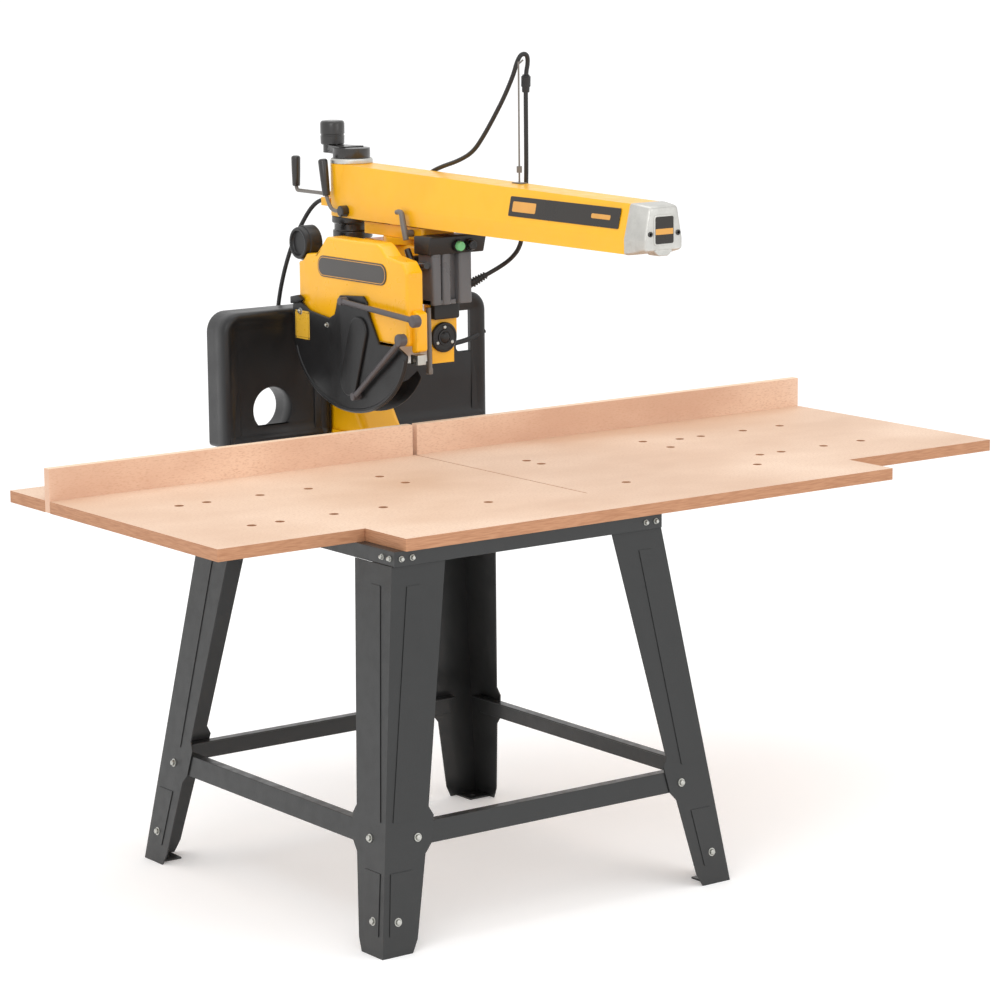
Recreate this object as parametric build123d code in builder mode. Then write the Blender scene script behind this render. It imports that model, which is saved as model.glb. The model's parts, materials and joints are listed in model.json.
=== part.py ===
from build123d import *
from math import cos, pi, radians, sin, tan
import os

os.makedirs("parts", exist_ok=True)

# Driving dimensions, mm. X runs along the fence, the arm points to -Y, Z is up from the floor.
TABLE_TOP, BOARD_T = 800.0, 25.0
TABLE_UNDER = TABLE_TOP - BOARD_T
FENCE_FRONT, FENCE_T, FENCE_TOP = 431.5, 19.8, 868.0
FOOT_X, FOOT_Y = 437.9, 449.5
LEG_TOP_X, LEG_TOP_Y, LEG_H = 334.7, 349.7, 745.0
SHEET = 3.0
FRAME_X, FRAME_Y, RAIL = 332.2, 356.0, 30.0
BRACE_LOW, BRACE_HIGH = 203.0, 246.0
ARM_X, COLUMN_Y, HEAD_Y = 405.0, 868.0, 640.0
ARM_UNDER, ARM_WAIST, ARM_REAR_TOP, ARM_FRONT_TOP = 1292.0, 1324.0, 1412.0, 1395.0
ARM_FRONT_Y = -216.0
COLUMN_R, COLUMN_BORE = 40.0, 40.05
BLADE_X, BLADE_R, MOTOR_Z = 268.5, 150.0, 1043.0
MOTOR_R = 72.0
GUARD_LEFT, GUARD_RIGHT = 243.0, 285.0
ROD_X, ROD_R, ROD_Z = 41.0, 7.0, 1304.0
FIT = 0.05


def box(x0, x1, y0, y1, z0, z1, mode=Mode.ADD):
    with Locations(((x0 + x1) / 2, (y0 + y1) / 2, (z0 + z1) / 2)):
        Box(abs(x1 - x0), abs(y1 - y0), abs(z1 - z0), mode=mode)


def rod(start, end, radius, mode=Mode.ADD):
    path = Vector(*end) - Vector(*start)
    with Locations(Plane(origin=start, z_dir=path.normalized())):
        Cylinder(radius, path.length, align=(Align.CENTER, Align.CENTER, Align.MIN), mode=mode)


def outline(plane, points, amount, mode=Mode.ADD):
    with BuildSketch(plane) as profile:
        with BuildLine():
            Polyline(*points, close=True)
        make_face()
    extrude(profile.sketch, amount=amount, mode=mode)


def cable(label, points, radius):
    """A plain tube whose bends are as wide as the runs beside them allow."""
    runs = [Vector(*b) - Vector(*a) for a, b in zip(points, points[1:])]
    bends = []
    for first, second in zip(runs, runs[1:]):
        half_turn = radians(first.get_angle(second)) / 2
        bends.append(0.45 * min(first.length, second.length) / tan(half_turn))
    with BuildPart() as part:
        with BuildLine() as path:
            FilletPolyline(*points, radius=bends)
        with BuildSketch(Plane(origin=path.line @ 0, z_dir=path.line % 0)) as section:
            Circle(radius)
        sweep(section.sketch, path=path.line)
    length = path.wires()[0].length
    drift = part.part.volume / (pi * radius ** 2 * length) - 1
    print(label, "length", round(length), "bends", [round(b) for b in bends],
          "volume off by", round(drift, 4))
    save(part, label)


def save(part, label):
    part.part.label = label
    export_step(part.part, f"parts/{label}.step")


# ---- Leg stand -------------------------------------------------------------------------------
CORNERS = {"front_left": (-1, -1), "front_right": (1, -1), "rear_left": (-1, 1), "rear_right": (1, 1)}
FLANGE_FOOT, FLANGE_TOP, EAR = 86.0, 127.0, 16.0


def leg_flange(foot, lean, inward, face, run):
    """One flange: a plate lying on the slanted plane through the leg's corner line."""
    rise = Vector(*[-n * lean[1] for n in face]) + Vector(0, 0, LEG_H)
    length = rise.length
    plane = Plane(origin=foot, x_dir=inward, z_dir=Vector(*inward).cross(rise).normalized())
    side = -1 if plane.z_dir.dot(Vector(*face)) > 0 else 1
    shift = lean[0]
    ear_low, ear_high = 0.25 * length, 0.37 * length
    edge = [FLANGE_FOOT + (FLANGE_TOP - FLANGE_FOOT + shift) * t for t in (0.25, 0.37)]
    outline(plane, [(0, 0), (FLANGE_FOOT - 14, 0), (FLANGE_FOOT, 26), (edge[0], ear_low),
                    (edge[0] + EAR, ear_low + 18), (edge[1] + EAR - 6, ear_high - 18),
                    (edge[1], ear_high), (shift + FLANGE_TOP, length), (shift, length)], side * SHEET)
    for low, high, wide_low, wide_high in ((0.345, 0.945, 50, 32), (0.055, 0.215, 44, 52)):
        ends = [(shift * t + 0.42 * (FLANGE_FOOT + (FLANGE_TOP - FLANGE_FOOT) * t), t * length, w / 2)
                for t, w in ((low, wide_low), (high, wide_high))]
        (a0, b0, h0), (a1, b1, h1) = ends
        outline(plane, [(a0 - h0, b0), (a0 + h0, b0), (a1 + h1, b1), (a1 - h1, b1)], -side * run)
    return plane, side, length


def leg(label, sx, sy):
    with BuildPart() as part:
        foot = (sx * FOOT_X, sy * FOOT_Y, 0)
        lean_x, lean_y = FOOT_X - LEG_TOP_X, FOOT_Y - LEG_TOP_Y
        leg_flange(foot, (lean_x, lean_y), (-sx, 0, 0), (0, sy, 0), 1.6)
        leg_flange(foot, (lean_y, lean_x), (0, -sy, 0), (sx, 0, 0), 1.6)
        x, y = sx * LEG_TOP_X, sy * LEG_TOP_Y
        box(x - sx * 2, x - sx * 70, y - sy * 2, y - sy * 70, LEG_H - 4, LEG_H)
        x, y = sx * (FOOT_X - 2), sy * (FOOT_Y - 2)
        box(x, x - sx * 55, y, y - sy * 55, 0, 4)
        with Locations((sx * (FOOT_X - 36), sy * (FOOT_Y - 36), 2)):
            Cylinder(6.5, 10, mode=Mode.SUBTRACT)
        with Locations((sx * (LEG_TOP_X - 40), sy * (LEG_TOP_Y - 40), LEG_H - 2)):
            Cylinder(5.5, 10, mode=Mode.SUBTRACT)
        box(-600, 600, -600, 600, -40, 0, mode=Mode.SUBTRACT)
        box(-600, 600, -600, 600, LEG_H, LEG_H + 40, mode=Mode.SUBTRACT)
    save(part, f"leg_{label}")


for corner, (sign_x, sign_y) in CORNERS.items():
    leg(corner, sign_x, sign_y)


def inner_face(foot, top, z):
    """Where the inside of a leg flange is at height z, measured square to the stand's side."""
    slope = (foot - top) / LEG_H
    return foot - slope * z - SHEET * (1 + slope * slope) ** 0.5


def brace(label, along_x, sign, foot, top, reach):
    low, high = inner_face(foot, top, BRACE_LOW), inner_face(foot, top, BRACE_HIGH)
    profile = [(low, BRACE_LOW), (high, BRACE_HIGH), (high - 22, BRACE_HIGH),
               (high - 22, BRACE_HIGH - SHEET), (high - SHEET, BRACE_HIGH - SHEET),
               (low - SHEET, BRACE_LOW)]
    with BuildPart() as part:
        plane = Plane.YZ if along_x else Plane.XZ
        outline(plane.offset(-reach), [(sign * a, z) for a, z in profile], 2 * reach)
    save(part, f"brace_{label}")


BRACE_RUN_X, BRACE_RUN_Y = 345.0, 384.0
brace("front", True, -1, FOOT_Y, LEG_TOP_Y, BRACE_RUN_X)
brace("rear", True, 1, FOOT_Y, LEG_TOP_Y, BRACE_RUN_X)
brace("left", False, -1, FOOT_X, LEG_TOP_X, BRACE_RUN_Y)
brace("right", False, 1, FOOT_X, LEG_TOP_X, BRACE_RUN_Y)

# ---- Base frame: stand ring, table bearers and the two beams that carry the column ------------
SCREW_ROWS_MAIN = ((49.0, (250.0, 154.0, -143.0)), (413.0, (213.0, 160.0, -137.0)),
                   (771.0, (253.0, 154.0, -143.0)))
SCREW_ROWS_ENDS = {"left": ((-466.0, -400.0, -271.0, -151.0), (222.0, -55.0)),
                   "right": ((858.0, 920.0, 1045.0, 1157.0), (228.0, -50.0))}
BEAM_X, BEAM_W, BEAM_LOW, BEAM_REAR = 42.0, 34.0, 715.0, 940.0
PLATE, BAR_T = 4.0, 10.0


def corner_bar(x0, x1, y0, y1, web):
    """A rail of the ring: a top flange over the whole box and an upright web on its outer face."""
    box(x0, x1, y0, y1, TABLE_UNDER - PLATE, TABLE_UNDER)
    box(*web, TABLE_UNDER - RAIL, TABLE_UNDER)


with BuildPart() as base_frame:
    for side in (-1, 1):
        near, far = side * (FRAME_Y - RAIL), side * FRAME_Y
        corner_bar(-FRAME_X, FRAME_X, near, far, (-FRAME_X, FRAME_X, far - side * PLATE, far))
        near, far = side * (FRAME_X - RAIL), side * FRAME_X
        corner_bar(near, far, -FRAME_Y, FRAME_Y, (far - side * PLATE, far, -FRAME_Y, FRAME_Y))
    for y in (-140.0, 157.0):
        box(-FRAME_X, 790, y - 17, y + 17, TABLE_UNDER - BAR_T, TABLE_UNDER)
    for x, rows in SCREW_ROWS_MAIN:
        box(x - 20, x + 20, min(rows) - 15, max(rows) + 20, TABLE_UNDER - BAR_T, TABLE_UNDER)
    for (start, end), rows in (((-490, -130), SCREW_ROWS_ENDS["left"][1]),
                               ((760, 1180), SCREW_ROWS_ENDS["right"][1])):
        for y in rows:
            box(start, end, y - 16, y + 16, TABLE_UNDER - BAR_T, TABLE_UNDER)
    for side in (-1, 1):
        outer, inner = ARM_X + side * (BEAM_X + BEAM_W / 2), ARM_X + side * (BEAM_X - BEAM_W / 2)
        box(outer - side * PLATE, outer, -157, BEAM_REAR, BEAM_LOW, TABLE_UNDER)
        for z in (BEAM_LOW, TABLE_UNDER - PLATE):
            box(inner, outer, -157, BEAM_REAR, z, z + PLATE)
    box(ARM_X - BEAM_X - BEAM_W / 2, ARM_X + BEAM_X + BEAM_W / 2, 616, 624, BEAM_LOW, TABLE_UNDER)
    for sx, sy in CORNERS.values():
        box(sx * (FRAME_X - 64), sx * FRAME_X, sy * (FRAME_Y - 70), sy * FRAME_Y, LEG_H, LEG_H + PLATE)
        with Locations((sx * (LEG_TOP_X - 40), sy * (LEG_TOP_Y - 40), LEG_H + 2)):
            Cylinder(5.5, 12, mode=Mode.SUBTRACT)
save(base_frame, "base_frame")

# ---- Table boards, fence and screws -----------------------------------------------------------
LEFT_END, LEFT_JOINT, RIGHT_JOINT, RIGHT_END = -649.5, -309.6, 964.1, 1391.9
MAIN_FRONT, ENDS_FRONT, REAR_EDGE = -364.2, -223.6, 602.4
HEAD_R, SCREW_R, SINK = 8.0, 3.0, 7.0
FENCE_BACK = FENCE_FRONT + FENCE_T


def screw_points():
    main = [(x, y) for x, rows in SCREW_ROWS_MAIN for y in rows]
    ends = [(x, y) for xs, ys in SCREW_ROWS_ENDS.values() for x in xs for y in ys]
    return main + ends


def board(label, x0, x1, y0, y1, groove=False):
    with BuildPart() as part:
        box(x0, x1, y0, y1, TABLE_UNDER, TABLE_TOP)
        edges = part.edges().filter_by(Axis.Z)
        fillet(edges, radius=2)
        inside = [p for p in screw_points() if x0 < p[0] < x1 and y0 < p[1] < y1]
        for x, y in inside:
            with Locations((x, y, TABLE_TOP - SINK / 2)):
                Cylinder(10, SINK, mode=Mode.SUBTRACT)
            with Locations((x, y, TABLE_UNDER + BOARD_T / 2)):
                Cylinder(SCREW_R + 0.3, BOARD_T, mode=Mode.SUBTRACT)
        if groove:
            box(BLADE_X - 1.5, BLADE_X + 1.5, -190, y1, TABLE_TOP - 2, TABLE_TOP, mode=Mode.SUBTRACT)
    save(part, label)


board("table_main", LEFT_JOINT, RIGHT_JOINT, MAIN_FRONT, FENCE_FRONT, groove=True)
board("table_left_extension", LEFT_END, LEFT_JOINT, ENDS_FRONT, FENCE_FRONT)
board("table_right_extension", RIGHT_JOINT, RIGHT_END, ENDS_FRONT, FENCE_FRONT)
board("table_rear_board", LEFT_END, RIGHT_END, FENCE_BACK, REAR_EDGE)

for label, x0, x1 in (("fence_left", LEFT_END, BLADE_X - 6), ("fence_right", BLADE_X + 6, RIGHT_END)):
    with BuildPart() as fence:
        box(x0, x1, FENCE_FRONT, FENCE_BACK, TABLE_UNDER, FENCE_TOP)
    save(fence, label)

with BuildPart() as table_screws:
    for x, y in screw_points():
        with Locations((x, y, TABLE_TOP - SINK + 1.75)):
            Cylinder(HEAD_R, 3.5)
        with Locations((x, y, (TABLE_UNDER + TABLE_TOP - SINK) / 2)):
            Cylinder(SCREW_R, BOARD_T - SINK)
save(table_screws, "table_screws")

# ---- Bolts of the stand -----------------------------------------------------------------------
with BuildPart() as stand_bolts:
    mid = (BRACE_LOW + BRACE_HIGH) / 2 - 4
    for sx, sy in CORNERS.values():
        for along_x in (True, False):
            foot, top = (FOOT_Y, LEG_TOP_Y) if along_x else (FOOT_X, LEG_TOP_X)
            face = inner_face(foot, top, mid) + SHEET * 1.02
            slope = (foot - top) / LEG_H
            if along_x:
                out, at = Vector(0, sy, slope), (sx * (BRACE_RUN_X - 14), sy * face, mid)
            else:
                out, at = Vector(sx, 0, slope), (sx * face, sy * (BRACE_RUN_Y - 16), mid)
            out = out.normalized()
            rod(at, Vector(*at) + out * 4.5, 9)
            rod(at, Vector(*at) + out * 7, 5.5)
save(stand_bolts, "stand_bolts")

# ---- Dust hood behind the fence ---------------------------------------------------------------
HOOD_L, HOOD_R, HOOD_FRONT, HOOD_BACK, HOOD_LOW, HOOD_TOP = 54.0, 792.0, 876.0, 950.0, 776.0, 1086.0
SKIN, PORT_X, PORT_Z, PORT_R = 4.0, 186.0, 857.0, 51.0

with BuildPart() as dust_hood:
    for x0, x1, grow, mode in ((HOOD_L, HOOD_R, 0, Mode.ADD), (HOOD_L, HOOD_R, SKIN, Mode.SUBTRACT)):
        with BuildSketch(Plane.XZ.offset(-(HOOD_BACK + (5 if grow else 0)))):
            with Locations(((x0 + x1) / 2, (HOOD_LOW + HOOD_TOP) / 2)):
                RectangleRounded(x1 - x0 - 2 * grow, HOOD_TOP - HOOD_LOW - 2 * grow, 46 - grow)
        extrude(amount=HOOD_BACK - HOOD_FRONT - grow + (5 if grow else 0), mode=mode)
    box(343, 467, HOOD_FRONT - 1, HOOD_BACK + 1, HOOD_LOW - 1, HOOD_TOP + 1, mode=Mode.SUBTRACT)
    for x0, x1 in ((339, 343), (467, 471)):
        box(x0, x1, HOOD_FRONT, HOOD_BACK, HOOD_LOW + 2, HOOD_TOP)
    box(339, 471, HOOD_BACK - 4, HOOD_BACK, HOOD_LOW + 2, HOOD_TOP)
    rod((PORT_X, HOOD_BACK, PORT_Z), (PORT_X, HOOD_FRONT, PORT_Z), PORT_R + 4)
    rod((PORT_X, HOOD_BACK + 1, PORT_Z), (PORT_X, HOOD_FRONT - 1, PORT_Z), PORT_R, mode=Mode.SUBTRACT)
    outline(Plane.XZ.offset(-(HOOD_BACK + 1)), [(708, 944), (764, 944), (764, 1040), (748, 1064), (708, 1064)],
            HOOD_BACK - HOOD_FRONT + 2, mode=Mode.SUBTRACT)
    rod((700, HOOD_FRONT + 7, 965), (790, HOOD_FRONT + 7, 989), 6)
    for x in (300.0, 510.0):
        box(x - 20, x + 20, HOOD_BACK - 26, HOOD_BACK, HOOD_LOW, HOOD_LOW + 8)
save(dust_hood, "dust_hood")

# ---- Column base, nut and supply box ----------------------------------------------------------
BASE_TOP, BASE_FLOOR = 1130.0, 795.0
with BuildPart() as column_base:
    box(ARM_X - 60, ARM_X + 60, 745, 930, TABLE_UNDER, BASE_FLOOR)
    with BuildSketch(Plane.XY.offset(BASE_FLOOR)):
        with Locations((ARM_X, 836)):
            RectangleRounded(112, 176, 18)
    with BuildSketch(Plane.XY.offset(900)):
        with Locations((ARM_X, COLUMN_Y)):
            RectangleRounded(108, 108, 22)
    loft()
    rod((ARM_X, COLUMN_Y, 890), (ARM_X, COLUMN_Y, BASE_TOP), 52)
    box(ARM_X - 9, ARM_X + 9, 802, 830, 880, 1010)
    rod((ARM_X, COLUMN_Y, BASE_FLOOR), (ARM_X, COLUMN_Y, BASE_TOP), COLUMN_BORE, mode=Mode.SUBTRACT)
    for side in (-1, 1):
        for y in (765.0, 910.0):
            with Locations((ARM_X + side * 50, y, BASE_FLOOR + 3)):
                Cylinder(7, 6)
save(column_base, "column_base")

SCREW_RAD = 8.0
with BuildPart() as elevation_nut:
    rod((ARM_X, COLUMN_Y, BASE_FLOOR), (ARM_X, COLUMN_Y, 965), 16)
    rod((ARM_X, COLUMN_Y, BASE_FLOOR), (ARM_X, COLUMN_Y, 966), SCREW_RAD + FIT, mode=Mode.SUBTRACT)
save(elevation_nut, "elevation_nut")

SUPPLY = (300.0, 1000.0)
with BuildPart() as supply_box:
    box(276, 376, 940, 1030, BEAM_LOW, 775)
    fillet(supply_box.edges().filter_by(Axis.Z), radius=8)
    rod((SUPPLY[0], SUPPLY[1], 775), (SUPPLY[0], SUPPLY[1], 792), 10)
save(supply_box, "supply_box")

# ---- Column that rises and falls --------------------------------------------------------------
TUBE_LOW, TUBE_TOP = 858.0, 1408.0
with BuildPart() as column_tube:
    rod((ARM_X, COLUMN_Y, TUBE_LOW), (ARM_X, COLUMN_Y, TUBE_TOP), COLUMN_R)
    rod((ARM_X, COLUMN_Y, TUBE_LOW), (ARM_X, COLUMN_Y, TUBE_TOP - 18), 34, mode=Mode.SUBTRACT)
    rod((ARM_X, COLUMN_Y, TUBE_LOW), (ARM_X, COLUMN_Y, TUBE_TOP), SCREW_RAD + FIT, mode=Mode.SUBTRACT)
save(column_tube, "column_tube")

with BuildPart() as column_collar:
    for z0, z1, radius in ((1240, 1258, 46), (1258, 1275, 42.5), (1275, 1291.6, 48)):
        rod((ARM_X, COLUMN_Y, z0), (ARM_X, COLUMN_Y, z1), radius)
    rod((ARM_X, COLUMN_Y, 1239), (ARM_X, COLUMN_Y, 1292), COLUMN_R, mode=Mode.SUBTRACT)
save(column_collar, "column_collar")

CRANK_LOW, HUB_TOP, CRANK_TOP, KNOB_Y = 1424.5, 1447.0, 1452.0, COLUMN_Y + 78
SCREW_LOW = BASE_FLOOR + 66
with BuildPart() as elevation_crank:
    rod((ARM_X, COLUMN_Y, SCREW_LOW), (ARM_X, COLUMN_Y, CRANK_LOW + 10), SCREW_RAD)
    rod((ARM_X, COLUMN_Y, CRANK_LOW), (ARM_X, COLUMN_Y, HUB_TOP), 43)
    outline(Plane.XY.offset(CRANK_TOP - 20), [(ARM_X - 34, COLUMN_Y), (ARM_X + 34, COLUMN_Y),
            (ARM_X + 18, KNOB_Y), (ARM_X - 18, KNOB_Y)], 18)
    rod((ARM_X, KNOB_Y, CRANK_TOP - 20), (ARM_X, KNOB_Y, CRANK_TOP - 2), 22)
    rod((ARM_X, KNOB_Y, CRANK_TOP - 8), (ARM_X, KNOB_Y, CRANK_TOP + 40), 6)
save(elevation_crank, "elevation_crank")

with BuildPart() as crank_knob:
    rod((ARM_X, KNOB_Y, CRANK_TOP - 1.6), (ARM_X, KNOB_Y, 1506), 28.5)
    rod((ARM_X, KNOB_Y, CRANK_TOP - 2), (ARM_X, KNOB_Y, CRANK_TOP + 41), 6 + FIT, mode=Mode.SUBTRACT)
    fillet(crank_knob.edges().group_by(Axis.Z)[-1], radius=7)
save(crank_knob, "crank_knob")

# ---- Cable routes -----------------------------------------------------------------------------
CABLE_R = 5.0
MOTOR_CABLE = [(474.2, 437.8, 1185.2), (496, 416.6, 1202.3), (504, 382, 1225), (501, 347, 1254),
               (491, 319, 1307), (484, 301, 1395), (479, 294, 1500), (475, 289, 1590), (470, 281, 1638),
               (470, 273, 1662), (463, 268, 1680), (447, 268, 1680), (440, 274, 1662), (440, 285, 1637),
               (440, 317, 1590), (438, 352, 1545), (437, 391, 1500), (445, 445, 1458), (450, 512, 1434),
               (455, 580, 1418), (460, 636, 1400), (461, 668, 1381)]
REAR_CABLE = [(374, 937, 1324), (373, 956, 1322.5), (360, 975, 1303), (343, 989, 1266), (322, 1004, 1212),
              (308, 1020, 1143), (301, 1034, 1070), (299, 1038, 990), (299, 1026, 912), (300, 1004, 847),
              (300, 1000, 792.4)]


def cable_gland(route):
    """The two ends of a round gland that carries on the last run of a cable, just clear of it."""
    last = (Vector(*route[-1]) - Vector(*route[-2])).normalized()
    return [tuple(Vector(*route[-1]) + last * along) for along in (0.2, 32)]


# ---- Arm --------------------------------------------------------------------------------------
CLAMP_Y, CLAMP_Z = COLUMN_Y - 53, 1308.0
LATCH_X, LATCH_Y, LATCH_Z = ARM_X - 39, COLUMN_Y + 48, 1340.0


def arm_section(y, waist, crown, top, low=ARM_UNDER):
    with BuildSketch(Plane.XZ.offset(-y)) as section:
        with BuildLine():
            Polyline((ARM_X - waist, low), (ARM_X - waist, ARM_WAIST), (ARM_X - crown, top),
                     (ARM_X + crown, top), (ARM_X + waist, ARM_WAIST), (ARM_X + waist, low), close=True)
        make_face()
    return section.sketch


with BuildPart() as arm_casting:
    loft([arm_section(COLUMN_Y, 49, 40, ARM_REAR_TOP), arm_section(740, 57, 41, 1410)], ruled=True)
    loft([arm_section(740, 57, 41, 1410), arm_section(ARM_FRONT_Y, 57, 40, ARM_FRONT_TOP)], ruled=True)
    loft([arm_section(770, 50, 34, 1402, low=ARM_UNDER - 2),
          arm_section(ARM_FRONT_Y - 2, 50, 34, ARM_FRONT_TOP - 7, low=ARM_UNDER - 2)],
         ruled=True, mode=Mode.SUBTRACT)
    for side in (-1, 1):
        box(ARM_X + side * 36, ARM_X + side * 52, ARM_FRONT_Y, 772, ARM_UNDER, ROD_Z - ROD_R)
    rod((ARM_X, COLUMN_Y, ARM_UNDER), (ARM_X, COLUMN_Y, ARM_REAR_TOP), 49)
    box(447, 462, 676, 700, 1356, 1378)
    rod(*cable_gland(MOTOR_CABLE), 10)
    box(364, 384, 900, 936, 1312, 1331)
    rod((LATCH_X, COLUMN_Y, LATCH_Z), (LATCH_X, LATCH_Y, LATCH_Z), 6.5)
    rod((ARM_X, COLUMN_Y, ARM_UNDER - 5), (ARM_X, COLUMN_Y, ARM_REAR_TOP + 5), COLUMN_BORE,
        mode=Mode.SUBTRACT)
save(arm_casting, "arm_casting")

for label, side in (("track_rod_left", -1), ("track_rod_right", 1)):
    with BuildPart() as track_rod:
        rod((ARM_X + side * ROD_X, ARM_FRONT_Y + 2, ROD_Z), (ARM_X + side * ROD_X, 768, ROD_Z), ROD_R)
    save(track_rod, label)

CAP_FRONT = -274.0
with BuildPart() as arm_end_cap:
    loft([arm_section(ARM_FRONT_Y, 59, 42, ARM_FRONT_TOP + 1, low=ARM_UNDER - 1),
          arm_section(CAP_FRONT, 48, 35, 1391, low=1302)], ruled=True)
    outline(Plane.XZ.offset(-CAP_FRONT - 8), [(ARM_X - 30, 1302), (ARM_X + 30, 1302),
            (ARM_X + 12, 1289), (ARM_X - 12, 1289)], -30)
    for side in (-1, 1):
        rod((ARM_X + side * 43, CAP_FRONT + 6, 1333), (ARM_X + side * 43, CAP_FRONT - 3, 1333), 7)
save(arm_end_cap, "arm_end_cap")

with BuildPart() as end_label:
    with BuildSketch(Plane.XZ.offset(-CAP_FRONT)):
        with Locations((ARM_X, 1342)):
            RectangleRounded(54, 56, 6)
    extrude(amount=2)
save(end_label, "end_label")

with BuildPart() as arm_top_cap:
    rod((ARM_X, COLUMN_Y, ARM_REAR_TOP), (ARM_X, COLUMN_Y, 1424), 49)
    rod((ARM_X, COLUMN_Y, ARM_REAR_TOP - 1), (ARM_X, COLUMN_Y, 1425), 9, mode=Mode.SUBTRACT)
    fillet(arm_top_cap.edges().group_by(Axis.Z)[-1].sort_by(SortBy.RADIUS)[-1], radius=5)
save(arm_top_cap, "arm_top_cap")

LABEL_TOP, LABEL_LOW = 1384.0, 1342.0


def arm_side(z, y):
    top = ARM_REAR_TOP + (y - 740) / (740 - ARM_FRONT_Y) * (1410 - ARM_FRONT_TOP) - 2
    return ARM_X - 57 + 16.5 * (z - ARM_WAIST) / (top - ARM_WAIST)


with BuildPart() as arm_label:
    with BuildSketch(Plane.XZ.offset(-190)):
        with BuildLine():
            Polyline((arm_side(LABEL_LOW, 0) - 1, LABEL_LOW), (arm_side(LABEL_TOP, 0) - 1, LABEL_TOP),
                     (arm_side(LABEL_TOP, 0) + 1.4, LABEL_TOP), (arm_side(LABEL_LOW, 0) + 1.4, LABEL_LOW),
                     close=True)
        make_face()
    extrude(amount=380)
    add(arm_casting.part, mode=Mode.SUBTRACT)
save(arm_label, "arm_label")

MAST = (430.0, 254.0)
MAST_R, MAST_FOOT, MAST_TOP = 2.0, 1400.0, 1665.0
with BuildPart() as cable_mast:
    rod((*MAST, MAST_FOOT), (*MAST, MAST_TOP), MAST_R)
    rod((*MAST, MAST_FOOT + 26), (*MAST, MAST_FOOT + 40), 6)
    rod((*MAST, MAST_TOP - 5), (MAST[0] + 12, MAST[1], MAST_TOP + 3), MAST_R)
    box(MAST[0] - 9, MAST[0] + 9, MAST[1] - 16, MAST[1] + 16, MAST_FOOT + 2.9, MAST_FOOT + 5)
    add(arm_casting.part, mode=Mode.SUBTRACT)
save(cable_mast, "cable_mast")

# ---- Levers at the rear of the arm ------------------------------------------------------------
KNOB_X = ARM_X - 53.2
HANDLE_X = KNOB_X - 9
with BuildPart() as mitre_clamp_handle:
    rod((KNOB_X - 18, CLAMP_Y, CLAMP_Z), (KNOB_X, CLAMP_Y, CLAMP_Z), 13)
    rod((HANDLE_X, CLAMP_Y, CLAMP_Z), (HANDLE_X, CLAMP_Y + 36, CLAMP_Z - 2), 4.5)
    rod((HANDLE_X, CLAMP_Y + 34, CLAMP_Z - 4), (HANDLE_X, CLAMP_Y + 68, CLAMP_Z + 34), 4.5)
    rod((HANDLE_X, CLAMP_Y + 66, CLAMP_Z + 30), (HANDLE_X, CLAMP_Y + 80, CLAMP_Z + 116), 11)
save(mitre_clamp_handle, "mitre_clamp_handle")

LATCH_REACH = 128.0
with BuildPart() as mitre_latch_handle:
    rod((LATCH_X, LATCH_Y + 0.4, LATCH_Z), (LATCH_X, LATCH_Y + 14, LATCH_Z), 6.5)
    rod((LATCH_X, LATCH_Y + 9, LATCH_Z), (LATCH_X, LATCH_Y + LATCH_REACH - 3, LATCH_Z), 4.5)
    rod((LATCH_X, LATCH_Y + LATCH_REACH, LATCH_Z - 7), (LATCH_X, LATCH_Y + LATCH_REACH, LATCH_Z + 12), 5.5)
    rod((LATCH_X, LATCH_Y + LATCH_REACH, LATCH_Z + 10), (LATCH_X, LATCH_Y + LATCH_REACH, LATCH_Z + 81), 11)
save(mitre_latch_handle, "mitre_latch_handle")

# ---- Carriage, rollers and lock ---------------------------------------------------------------
ROLLER_X, ROLLER_R, ROLLER_Y = 19.0, 14.5, 78.0
PIVOT_R = 30.0
with BuildPart() as carriage:
    box(ARM_X - 45, ARM_X + 45, HEAD_Y - 118, HEAD_Y + 118, 1262, 1288)
    fillet(carriage.edges().filter_by(Axis.Z), radius=8)
    rod((ARM_X, HEAD_Y, 1262), (ARM_X, HEAD_Y, 1290), 44)
    for sx in (-1, 1):
        for sy in (-1, 1):
            at = (ARM_X + sx * ROLLER_X, HEAD_Y + sy * ROLLER_Y)
            rod((*at, 1286), (*at, 1297.7), 9)
            rod((*at, 1286), (*at, 1318), 5)
    rod((ARM_X, HEAD_Y, 1261), (ARM_X, HEAD_Y, 1291), PIVOT_R + FIT, mode=Mode.SUBTRACT)
save(carriage, "carriage")

for corner, (sx, sy) in CORNERS.items():
    at = (ARM_X + sx * ROLLER_X, HEAD_Y + sy * ROLLER_Y)
    with BuildPart() as roller:
        rod((*at, 1298), (*at, 1310), ROLLER_R)
        rod((*at, 1298), (*at, 1310), 5 + FIT, mode=Mode.SUBTRACT)
    save(roller, f"roller_{corner}")

LOCK = (560.0, 1276.0)
with BuildPart() as carriage_lock:
    rod((ARM_X - 76, *LOCK), (ARM_X - 45.4, *LOCK), 9)
    rod((ARM_X - 70, 551, 1262), (ARM_X - 70, 567, 1318), 7)
    rod((ARM_X - 70, 564, 1316), (ARM_X - 70, 588, 1323), 6)
save(carriage_lock, "carriage_lock")

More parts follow.
